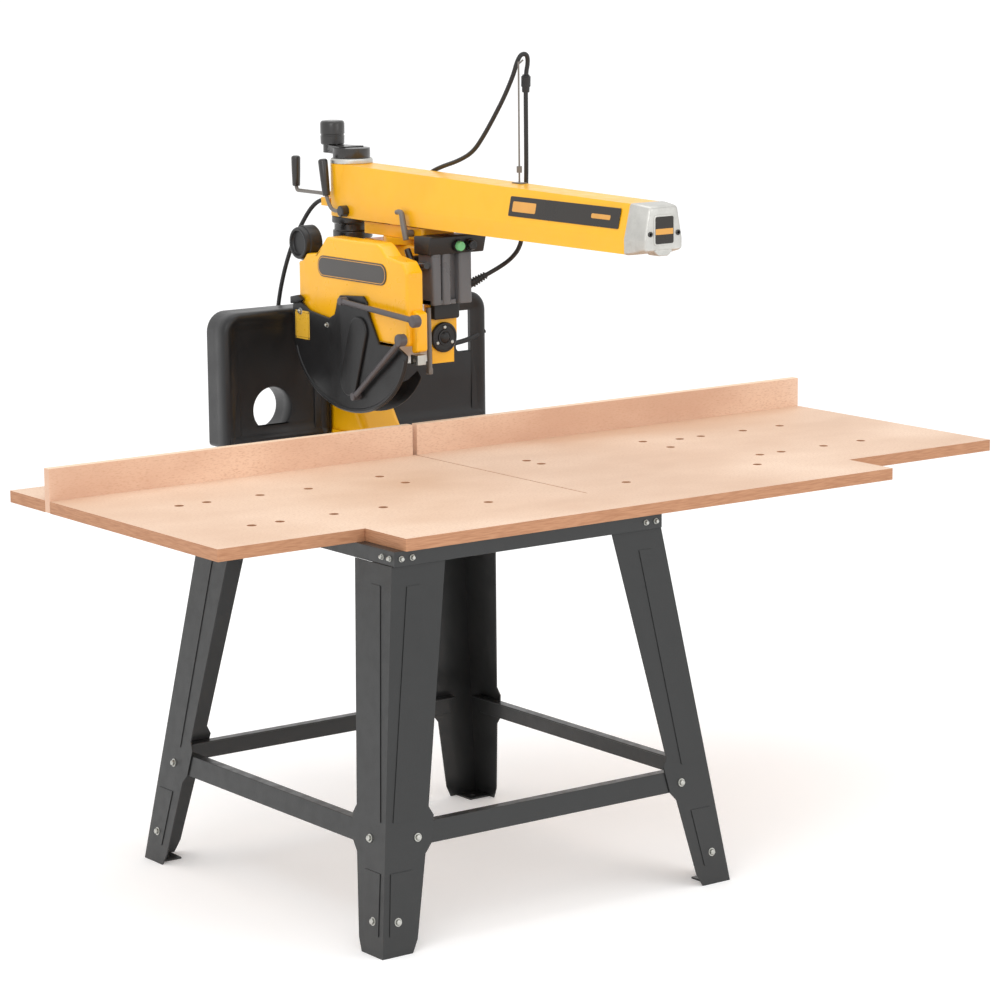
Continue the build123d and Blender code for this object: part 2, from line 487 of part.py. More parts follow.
# ---- Yoke -------------------------------------------------------------------------------------
YOKE_FRONT, YOKE_BACK, LEG_T = HEAD_Y - 128, HEAD_Y + 128, 18.0
TRUNNION_R = 20.0
with BuildPart() as yoke:
    box(ARM_X - 40, ARM_X + 40, YOKE_FRONT, YOKE_BACK, 1194, 1248)
    fillet(yoke.edges().filter_by(Axis.Y), radius=9)
    rod((ARM_X, HEAD_Y, 1246), (ARM_X, HEAD_Y, 1261.6), 58)
    rod((ARM_X, HEAD_Y, 1246), (ARM_X, HEAD_Y, 1289), PIVOT_R)
    for y in (YOKE_FRONT, YOKE_BACK - LEG_T):
        box(ARM_X - 38, ARM_X + 38, y, y + LEG_T, MOTOR_Z, 1200)
        rod((ARM_X, y, MOTOR_Z), (ARM_X, y + LEG_T, MOTOR_Z), 38)
        box(ARM_X - 30, ARM_X + 30, y, y + LEG_T, MOTOR_Z - 58, MOTOR_Z)
        rod((ARM_X, y, MOTOR_Z), (ARM_X, y + LEG_T, MOTOR_Z), TRUNNION_R + FIT, mode=Mode.SUBTRACT)
save(yoke, "yoke")

PANEL_X = 395.0
RELIEF_ROOT, RELIEF_END = (436, 475, 1155), (474, 438, 1185)
BUTTONS, BUTTON_R = {"start_button": (PANEL_X + 6, 1254), "stop_button": (PANEL_X + 38, 1254)}, 11.0
with BuildPart() as control_grip:
    box(PANEL_X - 58, PANEL_X + 50, 452, YOKE_FRONT, 1124, 1236)
    fillet(control_grip.edges().filter_by(Axis.Z), radius=10)
    for i in range(5):
        rod((PANEL_X - 46 + 21 * i, 451, 1130), (PANEL_X - 46 + 21 * i, 451, 1230), 4.5, mode=Mode.SUBTRACT)
    box(ARM_X - 34, ARM_X + 36, 496, YOKE_FRONT, 1084, 1126)
    outline(Plane.YZ.offset(PANEL_X - 70), [(508, 1236), (508, 1276), (440, 1278), (452, 1236)], 152)
    for x, z in BUTTONS.values():
        rod((x, 460, z), (x, 430, z), BUTTON_R + 0.4, mode=Mode.SUBTRACT)
    relief = Vector(*RELIEF_END) - Vector(*RELIEF_ROOT)
    with Locations(Plane(origin=RELIEF_ROOT, z_dir=relief.normalized())):
        Cone(11, 8, relief.length, align=(Align.CENTER, Align.CENTER, Align.MIN))
save(control_grip, "control_grip")

for label, (x, z) in BUTTONS.items():
    with BuildPart() as button:
        rod((x, 455, z), (x, 430, z), BUTTON_R)
    save(button, label)

with BuildPart() as yoke_clamp_lever:
    rod((ARM_X - 76, 537, 1220), (ARM_X - 40.4, 537, 1220), 9)
    for start, end in (((ARM_X - 71, 546, 1243), (ARM_X - 72, 533, 1218)),
                       ((ARM_X - 72, 537, 1224), (ARM_X - 78, 506, 1211)),
                       ((ARM_X - 77, 510, 1211), (ARM_X - 79, 458, 1214))):
        rod(start, end, 8)
save(yoke_clamp_lever, "yoke_clamp_lever")

# ---- Motor, bevel parts and upper guard -------------------------------------------------------
BELL_X, MOTOR_END = ARM_X + 58, ARM_X + 74
DRUM_START, DRUM_END = ARM_X - 80, ARM_X + 34
with BuildPart() as motor_body:
    rod((ARM_X - 104, HEAD_Y, MOTOR_Z), (BELL_X, HEAD_Y, MOTOR_Z), MOTOR_R)
    fillet(motor_body.edges().group_by(Axis.X)[-1], radius=12)
    rod((GUARD_RIGHT, HEAD_Y, MOTOR_Z), (ARM_X - 100, HEAD_Y, MOTOR_Z), 44)
    rod((BELL_X - 8, HEAD_Y, MOTOR_Z), (MOTOR_END, HEAD_Y, MOTOR_Z), 58)
    rod((GUARD_RIGHT - 1, HEAD_Y, MOTOR_Z), (BELL_X, HEAD_Y, MOTOR_Z), 58, mode=Mode.SUBTRACT)
    rod((GUARD_RIGHT, HEAD_Y, MOTOR_Z), (GUARD_RIGHT + 16, HEAD_Y, MOTOR_Z), 44)
    rod((GUARD_RIGHT - 1, HEAD_Y, MOTOR_Z), (GUARD_RIGHT + 17, HEAD_Y, MOTOR_Z), 16 + FIT,
        mode=Mode.SUBTRACT)
    rod((ARM_X - 104, HEAD_Y, MOTOR_Z), (ARM_X - 96, HEAD_Y, MOTOR_Z), 60)
    rod((ARM_X - 105, HEAD_Y, MOTOR_Z), (ARM_X - 95, HEAD_Y, MOTOR_Z), 16 + FIT, mode=Mode.SUBTRACT)
    rod((DRUM_END + 8, HEAD_Y, MOTOR_Z), (BELL_X + 1, HEAD_Y, MOTOR_Z), 30)
    rod((DRUM_END + 7, HEAD_Y, MOTOR_Z), (BELL_X + 1, HEAD_Y, MOTOR_Z), 12 + FIT, mode=Mode.SUBTRACT)
    rod((ARM_X, YOKE_FRONT - 0.5, MOTOR_Z), (ARM_X, HEAD_Y - 66, MOTOR_Z), TRUNNION_R)
    rod((ARM_X, YOKE_BACK, MOTOR_Z), (ARM_X, HEAD_Y + 66, MOTOR_Z), TRUNNION_R)
    for y in (YOKE_FRONT + LEG_T + 0.5, YOKE_BACK - LEG_T - 0.5):
        rod((ARM_X, y, MOTOR_Z), (ARM_X, HEAD_Y + (66 if y > HEAD_Y else -66), MOTOR_Z), 28)
    box(ARM_X - 90, ARM_X + 50, HEAD_Y - 44, HEAD_Y + 44, MOTOR_Z + 56, MOTOR_Z + 84)
save(motor_body, "motor_body")

with BuildPart() as bevel_dial:
    rod((ARM_X, YOKE_FRONT - 0.5, MOTOR_Z), (ARM_X, YOKE_FRONT - 8, MOTOR_Z), 34)
    rod((ARM_X, YOKE_FRONT - 8, MOTOR_Z), (ARM_X, YOKE_FRONT - 13, MOTOR_Z), 13)
    for i in range(3):
        a = radians(90 + 120 * i)
        at = (ARM_X + 24 * cos(a), MOTOR_Z + 24 * sin(a))
        rod((at[0], YOKE_FRONT - 7, at[1]), (at[0], YOKE_FRONT - 10.5, at[1]), 4)
save(bevel_dial, "bevel_dial")

with BuildPart() as bevel_lever:
    rod((ARM_X - 62, 521, 1092), (ARM_X - 38.4, 521, 1092), 7)
    rod((ARM_X - 58, 521, 1092), (ARM_X - 62, 480, 1088), 6)
    rod((ARM_X - 62, 480, 1118), (ARM_X - 64, 474, 968), 6)
save(bevel_lever, "bevel_lever")

UPPER = [(852, 1106), (852, 1204), (778, 1222), (756, 1242), (736, 1262), (536, 1262), (522, 1256),
         (497, 1236), (439, 1228), (419, 1206), (419, 1043), (800, 1043), (836, 1098)]
INNER = [(849, 1107), (849, 1201.5), (776, 1219.3), (754, 1240), (735, 1259), (537, 1259), (523.5, 1253.5),
         (498.5, 1233.2), (440.5, 1225), (422, 1204.5), (422, 1000), (803, 1000), (838.5, 1098)]
HINGE = (832.0, 1085.0)
SPOUT, SPOUT_R = (856.0, 1238.0), 40.0


def guard_profile(points, spout_radius):
    """A guard outline in side view, with a round bite where the dust spout turns."""
    with BuildSketch(Plane.YZ) as profile:
        with BuildLine():
            Polyline(*points, close=True)
        make_face()
        with Locations(SPOUT):
            Circle(spout_radius, mode=Mode.SUBTRACT)
    return Plane.YZ.offset(GUARD_LEFT) * profile.sketch_local


with BuildPart() as upper_guard:
    extrude(guard_profile(UPPER, SPOUT_R + 0.4), amount=GUARD_RIGHT - GUARD_LEFT)
    hollow = Pos(3, 0, 0) * guard_profile(INNER, SPOUT_R + 3.4)
    extrude(hollow, amount=GUARD_RIGHT - GUARD_LEFT - 6, mode=Mode.SUBTRACT)
    outline(Plane.YZ.offset(GUARD_RIGHT - 3), [(590, 1060), (590, 1010), (690, 1010), (690, 1060)], 3)
    rod((GUARD_RIGHT - 5, HEAD_Y, MOTOR_Z), (GUARD_RIGHT + 1, HEAD_Y, MOTOR_Z), 24, mode=Mode.SUBTRACT)
    outline(Plane.YZ.offset(GUARD_RIGHT - 28), [(420, 1126), (400, 1118), (400, 1034), (420, 1026)], 28)
    rod((GUARD_LEFT - 1, *HINGE), (GUARD_RIGHT + 1, *HINGE), 6 + FIT, mode=Mode.SUBTRACT)
save(upper_guard, "upper_guard")

with BuildPart() as guard_badge:
    with BuildSketch(Plane.YZ.offset(GUARD_LEFT)):
        with Locations((632, 1195)):
            RectangleRounded(272, 48, 20)
    extrude(amount=-2)
save(guard_badge, "guard_badge")

with BuildPart() as dust_spout:
    rod((248, *SPOUT), (288, *SPOUT), SPOUT_R)
    rod((247, *SPOUT), (252, *SPOUT), 33, mode=Mode.SUBTRACT)
save(dust_spout, "dust_spout")

with BuildPart() as guard_bracket:
    box(256, 278, 398, 426, 1004, 1025.8)
    rod((255, 412, 1014), (279, 412, 1014), 5, mode=Mode.SUBTRACT)
save(guard_bracket, "guard_bracket")

# ---- Rotor, blade and its fixings -------------------------------------------------------------
with BuildPart() as rotor_shaft:
    rod((252, HEAD_Y, MOTOR_Z), (BELL_X, HEAD_Y, MOTOR_Z), 12)
    rod((274, HEAD_Y, MOTOR_Z), (DRUM_START, HEAD_Y, MOTOR_Z), 16)
    rod((DRUM_START, HEAD_Y, MOTOR_Z), (DRUM_END, HEAD_Y, MOTOR_Z), 46)
save(rotor_shaft, "rotor_shaft")

TEETH = 48
with BuildPart() as blade:
    with BuildSketch(Plane.YZ.offset(BLADE_X - 1.2)):
        with BuildLine():
            points = []
            for i in range(TEETH):
                for part_turn, radius in ((0.0, BLADE_R), (0.12, BLADE_R - 9), (0.45, BLADE_R - 9)):
                    a = radians(360 * (i + part_turn) / TEETH)
                    points.append((HEAD_Y + radius * cos(a), MOTOR_Z + radius * sin(a)))
            Polyline(*points, close=True)
        make_face()
        with Locations((HEAD_Y, MOTOR_Z)):
            Circle(12 + FIT, mode=Mode.SUBTRACT)
    extrude(amount=2.4)
save(blade, "blade")

with BuildPart() as arbor_flanges:
    rod((BLADE_X + 1.2, HEAD_Y, MOTOR_Z), (274, HEAD_Y, MOTOR_Z), 36)
    rod((BLADE_X - 6, HEAD_Y, MOTOR_Z), (BLADE_X - 1.2, HEAD_Y, MOTOR_Z), 36)
    outline(Plane.YZ.offset(252), [(HEAD_Y + 19 * cos(radians(60 * i)), MOTOR_Z + 19 * sin(radians(60 * i)))
                                   for i in range(6)], BLADE_X - 6 - 252)
    rod((250, HEAD_Y, MOTOR_Z), (275, HEAD_Y, MOTOR_Z), 12 + FIT, mode=Mode.SUBTRACT)
save(arbor_flanges, "arbor_flanges")

# ---- Lower guard ------------------------------------------------------------------------------
LEAF_X, LEAF_T = 234.0, 6.0
LEAF_CENTRE, LEAF_RY, LEAF_RZ = (637.0, 1043.0), 228.0, 169.0
LEAF_TOP = [(444, 1040), (519, 1040), (540, 1074), (558, 1102), (566, 1130), (579, 1142), (672, 1136),
            (684, 1118), (692, 1092), (717, 1080), (798, 1090), (835, 1108), (862, 1112), (866, 1096)]


def leaf_outline(start, end, edge):
    """The elliptical lower edge between two angles, closed through the points of the upper edge."""
    with BuildSketch(Plane.YZ) as profile:
        with BuildLine():
            arc = EllipticalCenterArc(LEAF_CENTRE, LEAF_RY, LEAF_RZ, start_angle=start, arc_size=end - start)
            Polyline(arc @ 0, *edge, arc @ 1)
        make_face()
    return profile.sketch_local


with BuildPart() as lower_guard:
    extrude(Plane.YZ.offset(LEAF_X) * leaf_outline(186, 350, LEAF_TOP), amount=LEAF_T)
    with BuildSketch(Plane.YZ.offset(LEAF_X)):
        with Locations(Location((612, 1004), 19.0)):
            SlotOverall(190, 66, rotation=90)
    extrude(amount=-6)
    rod((LEAF_X, *HINGE), (291, *HINGE), 6)
    inner = leaf_outline(205, 350, [(445, 985), (480, 962), (560, 930), (640, 920), (720, 930), (775, 958),
                                    (808, 1000), (818, 1094), (848, 1094)])
    extrude(Plane.YZ.offset(GUARD_RIGHT + 1.6) * inner, amount=2.6)
save(lower_guard, "lower_guard")

with BuildPart() as guard_links:
    for start, end in (((354, 1109), (643, 1126)), ((409, 1062), (597, 916))):
        rod((221, *start), (221, *end), 6.5)
        rod((210, *start), (229, *start), 14)
    for at, depth in (((643, 1126), LEAF_X), ((597, 916), LEAF_X)):
        rod((214, *at), (depth, *at), 9)
save(guard_links, "guard_links")

# ---- Cables -----------------------------------------------------------------------------------
cable("motor_cable", MOTOR_CABLE, CABLE_R)
cable("rear_cable", REAR_CABLE, CABLE_R)
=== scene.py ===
"""Looks of the radial arm saw: finishes, moulded and pressed skins, levers, cables, stage and camera."""
import json
import math

import bmesh
import bpy
from mathutils import Matrix, Vector

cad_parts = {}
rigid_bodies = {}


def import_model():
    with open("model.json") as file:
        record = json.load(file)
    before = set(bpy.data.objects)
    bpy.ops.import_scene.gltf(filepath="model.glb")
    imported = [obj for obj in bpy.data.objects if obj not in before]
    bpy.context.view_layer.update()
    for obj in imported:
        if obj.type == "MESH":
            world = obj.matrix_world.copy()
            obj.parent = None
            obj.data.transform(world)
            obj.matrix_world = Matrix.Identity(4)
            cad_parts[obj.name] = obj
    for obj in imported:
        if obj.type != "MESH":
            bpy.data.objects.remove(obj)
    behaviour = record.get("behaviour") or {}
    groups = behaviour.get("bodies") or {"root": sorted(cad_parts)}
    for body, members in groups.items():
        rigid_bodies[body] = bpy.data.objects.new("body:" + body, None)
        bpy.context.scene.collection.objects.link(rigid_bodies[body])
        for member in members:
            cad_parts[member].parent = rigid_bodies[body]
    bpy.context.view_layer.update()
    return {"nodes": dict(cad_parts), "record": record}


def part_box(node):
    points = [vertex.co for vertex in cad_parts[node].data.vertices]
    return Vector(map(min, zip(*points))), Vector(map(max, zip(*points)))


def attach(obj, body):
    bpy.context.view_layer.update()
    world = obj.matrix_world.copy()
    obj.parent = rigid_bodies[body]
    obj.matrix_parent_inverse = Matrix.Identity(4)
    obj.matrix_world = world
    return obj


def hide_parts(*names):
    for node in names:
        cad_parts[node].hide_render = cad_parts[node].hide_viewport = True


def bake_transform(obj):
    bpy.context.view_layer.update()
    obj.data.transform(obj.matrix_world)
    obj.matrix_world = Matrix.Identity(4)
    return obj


for leftover in list(bpy.data.objects):
    bpy.data.objects.remove(leftover)

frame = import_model()
NODES = frame["nodes"]
MM = 0.001


# ---- Materials --------------------------------------------------------------------------------
def srgb(red, green, blue):
    """A colour from 0-255 display values, in the linear values that shaders take."""
    return tuple((c / 255 / 12.92 if c < 11 else ((c / 255 + 0.055) / 1.055) ** 2.4)
                 for c in (red, green, blue)) + (1.0,)


class Finish:
    """A Principled material with helpers for mottling, roughness variation and bump."""

    def __init__(self, name, colour, roughness, metallic=0.0, coat=0.0, coat_rough=0.1, specular=0.5):
        self.material = bpy.data.materials.new(name)
        self.material.use_nodes = True
        self.tree = self.material.node_tree
        self.shader = self.tree.nodes["Principled BSDF"]
        self.colour = colour
        self.shader.inputs["Base Color"].default_value = colour
        self.shader.inputs["Roughness"].default_value = roughness
        self.shader.inputs["Metallic"].default_value = metallic
        self.shader.inputs["Coat Weight"].default_value = coat
        self.shader.inputs["Coat Roughness"].default_value = coat_rough
        self.shader.inputs["Specular IOR Level"].default_value = specular
        self.place = self.tree.nodes.new("ShaderNodeTexCoord").outputs["Object"]
        self.height = None

    def node(self, kind, **inputs):
        made = self.tree.nodes.new(kind)
        for key, value in inputs.items():
            socket = made.inputs[key.replace("_", " ")]
            if isinstance(value, bpy.types.NodeSocket):
                self.tree.links.new(value, socket)
            else:
                socket.default_value = value
        return made

    def noise(self, scale, detail=3.0, stretch=(1, 1, 1)):
        """Noise from 0 to 1 in cycles per metre, stretched along the axes."""
        mapped = self.node("ShaderNodeMapping", Vector=self.place, Scale=stretch)
        return self.node("ShaderNodeTexNoise", Vector=mapped.outputs["Vector"], Scale=scale,
                         Detail=detail).outputs["Fac"]

    def span(self, value, low, high, floor=0.0, top=1.0):
        return self.node("ShaderNodeMapRange", Value=value, From_Min=low, From_Max=high, To_Min=floor,
                         To_Max=top).outputs["Result"]

    def mix(self, first, second, share):
        made = self.tree.nodes.new("ShaderNodeMix")
        made.data_type = "RGBA"
        colour_in = [s for s in made.inputs if s.type == "RGBA"]
        for socket, value in ((made.inputs[0], share), (colour_in[0], first), (colour_in[1], second)):
            if isinstance(value, bpy.types.NodeSocket):
                self.tree.links.new(value, socket)
            else:
                socket.default_value = value
        return [s for s in made.outputs if s.type == "RGBA"][0]

    def paint(self, colour):
        self.tree.links.new(colour, self.shader.inputs["Base Color"])
        return self

    def rough(self, value):
        self.tree.links.new(value, self.shader.inputs["Roughness"])
        return self

    def bump(self, height, distance, strength=1.0):
        made = self.node("ShaderNodeBump", Height=height, Distance=distance, Strength=strength)
        if self.height is not None:
            self.tree.links.new(self.height, made.inputs["Normal"])
        self.height = made.outputs["Normal"]
        self.tree.links.new(self.height, self.shader.inputs["Normal"])
        return self

    def shade(self, share=0.85):
        return tuple(c * share for c in self.colour[:3]) + (1.0,)


def painted(name, colour, roughness=0.3, coat=0.4, peel=0.00012, mottle=0.93):
    """Sprayed paint: faint orange peel, slow colour drift and uneven gloss."""
    made = Finish(name, colour, roughness, coat=coat)
    drift = made.noise(7.0, 2.0)
    made.paint(made.mix(made.shade(mottle), colour, made.span(drift, 0.3, 0.6)))
    made.rough(made.span(made.noise(40.0), 0.35, 0.65, roughness * 0.85, roughness * 1.2))
    return made.bump(made.noise(380.0, 2.0), peel).material


def moulded(name, colour, roughness=0.42, grain=900.0):
    """Moulded plastic: a fine grain and hand-rubbed patches."""
    made = Finish(name, colour, roughness, specular=0.45)
    rubbed = made.noise(11.0, 4.0)
    made.paint(made.mix(made.shade(0.8), tuple(min(1, c * 1.25) for c in colour[:3]) + (1.0,), rubbed))
    made.rough(made.span(rubbed, 0.3, 0.7, roughness * 0.8, roughness * 1.25))
    return made.bump(made.noise(grain, 3.0), 0.00008).material


def metal(name, colour, roughness=0.3, brush=(1, 1, 1), grain=500.0):
    """Bare or plated metal, with scratches along the brushing."""
    made = Finish(name, colour, roughness, metallic=1.0)
    lines = made.noise(grain, 4.0, brush)
    made.paint(made.mix(made.shade(0.82), colour, made.span(made.noise(25.0), 0.3, 0.7)))
    made.rough(made.span(lines, 0.3, 0.7, roughness * 0.75, roughness * 1.4))
    return made.bump(lines, 0.00004).material


def fibreboard():
    """Pale pressed fibreboard: smooth faces, browner sawn edges."""
    face, edge = srgb(228, 190, 160), srgb(188, 138, 104)
    made = Finish("fibreboard", face, 0.55, specular=0.3)
    cloud = made.noise(2.2, 5.0, (1.0, 1.6, 1.0))
    fibre = made.noise(420.0, 6.0, (0.35, 1.0, 1.0))
    upper = made.mix(srgb(214, 180, 153), srgb(233, 206, 183), made.span(cloud, 0.35, 0.65))
    upper = made.mix(srgb(203, 166, 140), upper, made.span(fibre, 0.22, 0.5))
    layers = made.noise(160.0, 4.0, (0.2, 0.2, 3.0))
    sides = made.mix(srgb(166, 116, 84), edge, made.span(layers, 0.3, 0.62))
    normal = made.tree.nodes.new("ShaderNodeNewGeometry").outputs["Normal"]
    split = made.node("ShaderNodeSeparateXYZ", Vector=normal)
    facing = made.node("ShaderNodeMath", Value=split.outputs["Z"])
    facing.operation = "ABSOLUTE"
    made.paint(made.mix(sides, upper, made.span(facing.outputs[0], 0.45, 0.8)))
    made.rough(made.span(cloud, 0.3, 0.7, 0.48, 0.62))
    return made.bump(fibre, 0.00006).material


def fence_board():
    """The same board on edge: its large faces look forwards and back; its upward-facing top edge is painted
    paler, a painted highlight of light from above.
    """
    made = Finish("fence_board", srgb(226, 182, 150), 0.55, specular=0.3)
    cloud = made.noise(2.6, 5.0, (1.0, 1.0, 2.0))
    fibre = made.noise(420.0, 6.0, (0.3, 1.0, 1.0))
    face = made.mix(srgb(214, 174, 148), srgb(234, 200, 174), made.span(cloud, 0.35, 0.65))
    face = made.mix(srgb(206, 164, 136), face, made.span(fibre, 0.22, 0.5))
    normal = made.tree.nodes.new("ShaderNodeNewGeometry").outputs["Normal"]
    split = made.node("ShaderNodeSeparateXYZ", Vector=normal)
    # Painted highlight: faces that look upwards get a paler colour, standing in for light falling from above.
    made.paint(made.mix(face, srgb(236, 206, 178), made.span(split.outputs["Z"], 0.5, 0.8)))
    return made.bump(fibre, 0.00006).material


YELLOW = srgb(252, 184, 0)
MATERIALS = {
    "stand_black": painted("satin_black", srgb(30, 31, 31), 0.36, coat=0.15, peel=0.0002, mottle=0.85),
    "board": fibreboard(),
    "zinc": metal("zinc_plate", srgb(198, 198, 192), 0.34),
    "ground_steel": metal("ground_steel", srgb(204, 206, 208), 0.24, (1, 0.05, 1)),
    "black_plastic": moulded("black_moulding", srgb(27, 27, 28), 0.36),
    "black_metal": painted("black_enamel", srgb(40, 38, 37), 0.3, coat=0.3, mottle=0.8),
    "lever_grey": painted("lever_grey", srgb(112, 106, 100), 0.38, coat=0.2),
    "yellow_cast": painted("golden_paint_cast", YELLOW, 0.38, coat=0.2, peel=0.0002),
    "yellow_alloy": painted("golden_paint_alloy", YELLOW, 0.36, coat=0.2, peel=0.0002),
    "yellow_sheet": painted("golden_paint_sheet", YELLOW, 0.32, coat=0.3),
    "cast_silver": metal("cast_aluminium", srgb(208, 207, 202), 0.42, grain=260.0),
    "label_dark": moulded("label_film", srgb(40, 36, 32), 0.3),
    "blade_steel": metal("blade_steel", srgb(212, 213, 214), 0.22),
    "start_green": moulded("start_green", srgb(118, 202, 138), 0.25),
    "stop_black": moulded("stop_black", srgb(30, 30, 32), 0.25),
    "cable_rubber": moulded("cable_rubber", srgb(34, 34, 35), 0.5, 700.0),
}
FENCE_BOARD = fence_board()
BADGE_GREY = moulded("badge_grey", srgb(74, 72, 70), 0.3)
GOLD_INK = moulded("gold_ink", srgb(214, 156, 74), 0.35)
WARM_PLATE = painted("amber_plate", srgb(232, 182, 58), 0.3)
GRIP_GREY = moulded("grip_grey", srgb(96, 96, 98), 0.3)
LINK_GREY = moulded("link_grey", srgb(84, 80, 82), 0.38)


# ---- Geometry helpers -------------------------------------------------------------------------
SHARP_ANGLE = math.radians(32)


def shading_group():
    """Geometry nodes that smooth a mesh except across edges sharper than a limit."""
    group = bpy.data.node_groups.new("smooth_by_angle", "GeometryNodeTree")
    group.interface.new_socket("Geometry", in_out="INPUT", socket_type="NodeSocketGeometry")
    group.interface.new_socket("Geometry", in_out="OUTPUT", socket_type="NodeSocketGeometry")
    start, end = group.nodes.new("NodeGroupInput"), group.nodes.new("NodeGroupOutput")
    faces = group.nodes.new("GeometryNodeSetShadeSmooth")
    edges = group.nodes.new("GeometryNodeSetShadeSmooth")
    edges.domain = "EDGE"
    edges.inputs["Shade Smooth"].default_value = False
    angle = group.nodes.new("GeometryNodeInputMeshEdgeAngle")
    limit = group.nodes.new("FunctionNodeCompare")
    limit.operation = "GREATER_THAN"
    limit.inputs["B"].default_value = SHARP_ANGLE
    group.links.new(angle.outputs["Unsigned Angle"], limit.inputs["A"])
    group.links.new(limit.outputs["Result"], edges.inputs["Selection"])
    group.links.new(start.outputs[0], faces.inputs["Geometry"])
    group.links.new(faces.outputs["Geometry"], edges.inputs["Geometry"])
    group.links.new(edges.outputs["Geometry"], end.inputs[0])
    return group


SMOOTHING = shading_group()


def soften(node, width, segments):
    """Rounds the edges of a CAD node by modifiers alone; its mesh stays as packed."""
    obj = NODES[node]
    weld = obj.modifiers.new("weld", "WELD")
    weld.merge_threshold = 0.00002
    bevel = obj.modifiers.new("edges", "BEVEL")
    bevel.width = width * MM
    bevel.segments = segments
    bevel.limit_method = "ANGLE"
    bevel.angle_limit = SHARP_ANGLE
    bevel.use_clamp_overlap = True
    smooth = obj.modifiers.new("shading", "NODES")
    smooth.node_group = SMOOTHING
    obj.modifiers.new("normals", "WEIGHTED_NORMAL").keep_sharp = True


def piece(name, bm, finish, body, replaces=()):
    """An object from a bmesh, on a body unless that is None, in place of the CAD nodes it replaces."""
    bmesh.ops.recalc_face_normals(bm, faces=bm.faces)
    mesh = bpy.data.meshes.new(name)
    bm.to_mesh(mesh)
    bm.free()
    mesh.materials.append(finish)
    mesh.shade_smooth()
    mesh.set_sharp_from_angle(angle=SHARP_ANGLE)
    obj = bpy.data.objects.new(name, mesh)
    bpy.context.scene.collection.objects.link(obj)
    if body:
        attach(obj, body)
    if replaces:
        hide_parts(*replaces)
    return obj


def rounded(points, radius, steps=5):
    """A closed 2-D outline with every corner turned by an arc of up to that radius."""
    result = []
    count = len(points)
    for i in range(count):
        before, at, after = (Vector(points[(i + k) % count]) for k in (-1, 0, 1))
        a, b = (before - at), (after - at)
        half = a.angle(b) / 2
        reach = min(radius / math.tan(half), 0.48 * a.length, 0.48 * b.length)
        arc = reach * math.tan(half)
        centre = at + (a.normalized() + b.normalized()).normalized() * (arc / math.sin(half))
        start, end = at + a.normalized() * reach - centre, at + b.normalized() * reach - centre
        turn = start.angle_signed(end)
        for k in range(steps + 1):
            result.append(tuple(centre + Matrix.Rotation(-turn * k / steps, 2) @ start))
    return result


def rectangle(left, low, right, high, radius, steps):
    return rounded([(left, low), (right, low), (right, high), (left, high)], radius, steps)


def inset(points, distance):
    """A closed 2-D outline moved inwards by a distance."""
    area = sum(a[0] * b[1] - b[0] * a[1] for a, b in zip(points, points[1:] + points[:1]))
    sign = 1 if area > 0 else -1
    result = []
    count = len(points)
    for i in range(count):
        before, at, after = (Vector(points[(i + k) % count]) for k in (-1, 0, 1))
        first, second = (at - before), (after - at)
        if first.length < 1e-9:
            first = second
        if second.length < 1e-9:
            second = first
        n1 = Vector((-first.y, first.x)).normalized() * sign
        n2 = Vector((-second.y, second.x)).normalized() * sign
        middle = (n1 + n2).normalized()
        result.append(tuple(at + middle * (distance / max(0.5, middle.dot(n1)))))
    return result


def loop(bm, points):
    return [bm.verts.new(p) for p in points]


def bridge(bm, first, second):
    count = len(first)
    for i in range(count):
        j = (i + 1) % count
        bm.faces.new((first[i], first[j], second[j], second[i]))


def cap(bm, verts):
    face = bm.faces.new(verts)
    bmesh.ops.triangulate(bm, faces=[face], ngon_method="EAR_CLIP")


def skin(bm, rings, start=True, end=True):
    """A wall through rings of vertices, closed at its ends if asked."""
    for first, second in zip(rings, rings[1:]):
        bridge(bm, first, second)
    if start:
        cap(bm, rings[0])
    if end:
        cap(bm, rings[-1])


def edge_round(radius, steps=4):
    """(inset, depth) pairs that turn an edge of that radius, from the face to the side."""
    return [(radius * (1 - math.sin(t)), radius * (1 - math.cos(t)))
            for t in (math.pi / 2 * k / steps for k in range(steps + 1))]


def moulding(outline, place, depth, radius, back_radius=0.0, hollow=None):
    """A plate or cover: rounded front edge, side wall, then a plain back or a hollow of that wall."""
    bm = bmesh.new()
    rings = [loop(bm, [place(a, b, d) for a, b in inset(outline, i)]) for i, d in edge_round(radius)]
    if hollow:
        for i, d in ((0, depth), (hollow, depth), (hollow, hollow)):
            rings.append(loop(bm, [place(a, b, d) for a, b in inset(outline, i)]))
    else:
        for i, d in reversed(edge_round(back_radius or 0.2)):
            rings.append(loop(bm, [place(a, b, depth - d) for a, b in inset(outline, i)]))
    skin(bm, rings)
    return bm


def rim(outline, levels):
    """A raised band along an outline in Y and Z, from the (inset, x) corners of its section."""
    bm = bmesh.new()
    rings = [loop(bm, [mm(x, a, b) for a, b in inset(outline, i)]) for i, x in levels]
    skin(bm, rings + rings[:1], start=False, end=False)
    return bm


def lathe(bm, start, axis, profile, steps):
    """Turns (distance along the axis, radius) points about an axis; radius 0 ends close the form."""
    start, axis = Vector(start), Vector(axis).normalized()
    side = axis.orthogonal().normalized()
    other = axis.cross(side)
    rings = []
    for along, radius in profile:
        if radius < 1e-7:
            rings.append([bm.verts.new(start + axis * along)])
            continue
        angles = [2 * math.pi * k / steps for k in range(steps)]
        rings.append(loop(bm, [start + axis * along + radius * (side * math.cos(a) + other * math.sin(a))
                               for a in angles]))
    for first, second in zip(rings, rings[1:]):
        if len(first) == 1 or len(second) == 1:
            tip, ring = (first[0], second) if len(first) == 1 else (second[0], first)
            for i in range(steps):
                bm.faces.new((tip, ring[i], ring[(i + 1) % steps]))
        else:
            bridge(bm, first, second)
    return bm


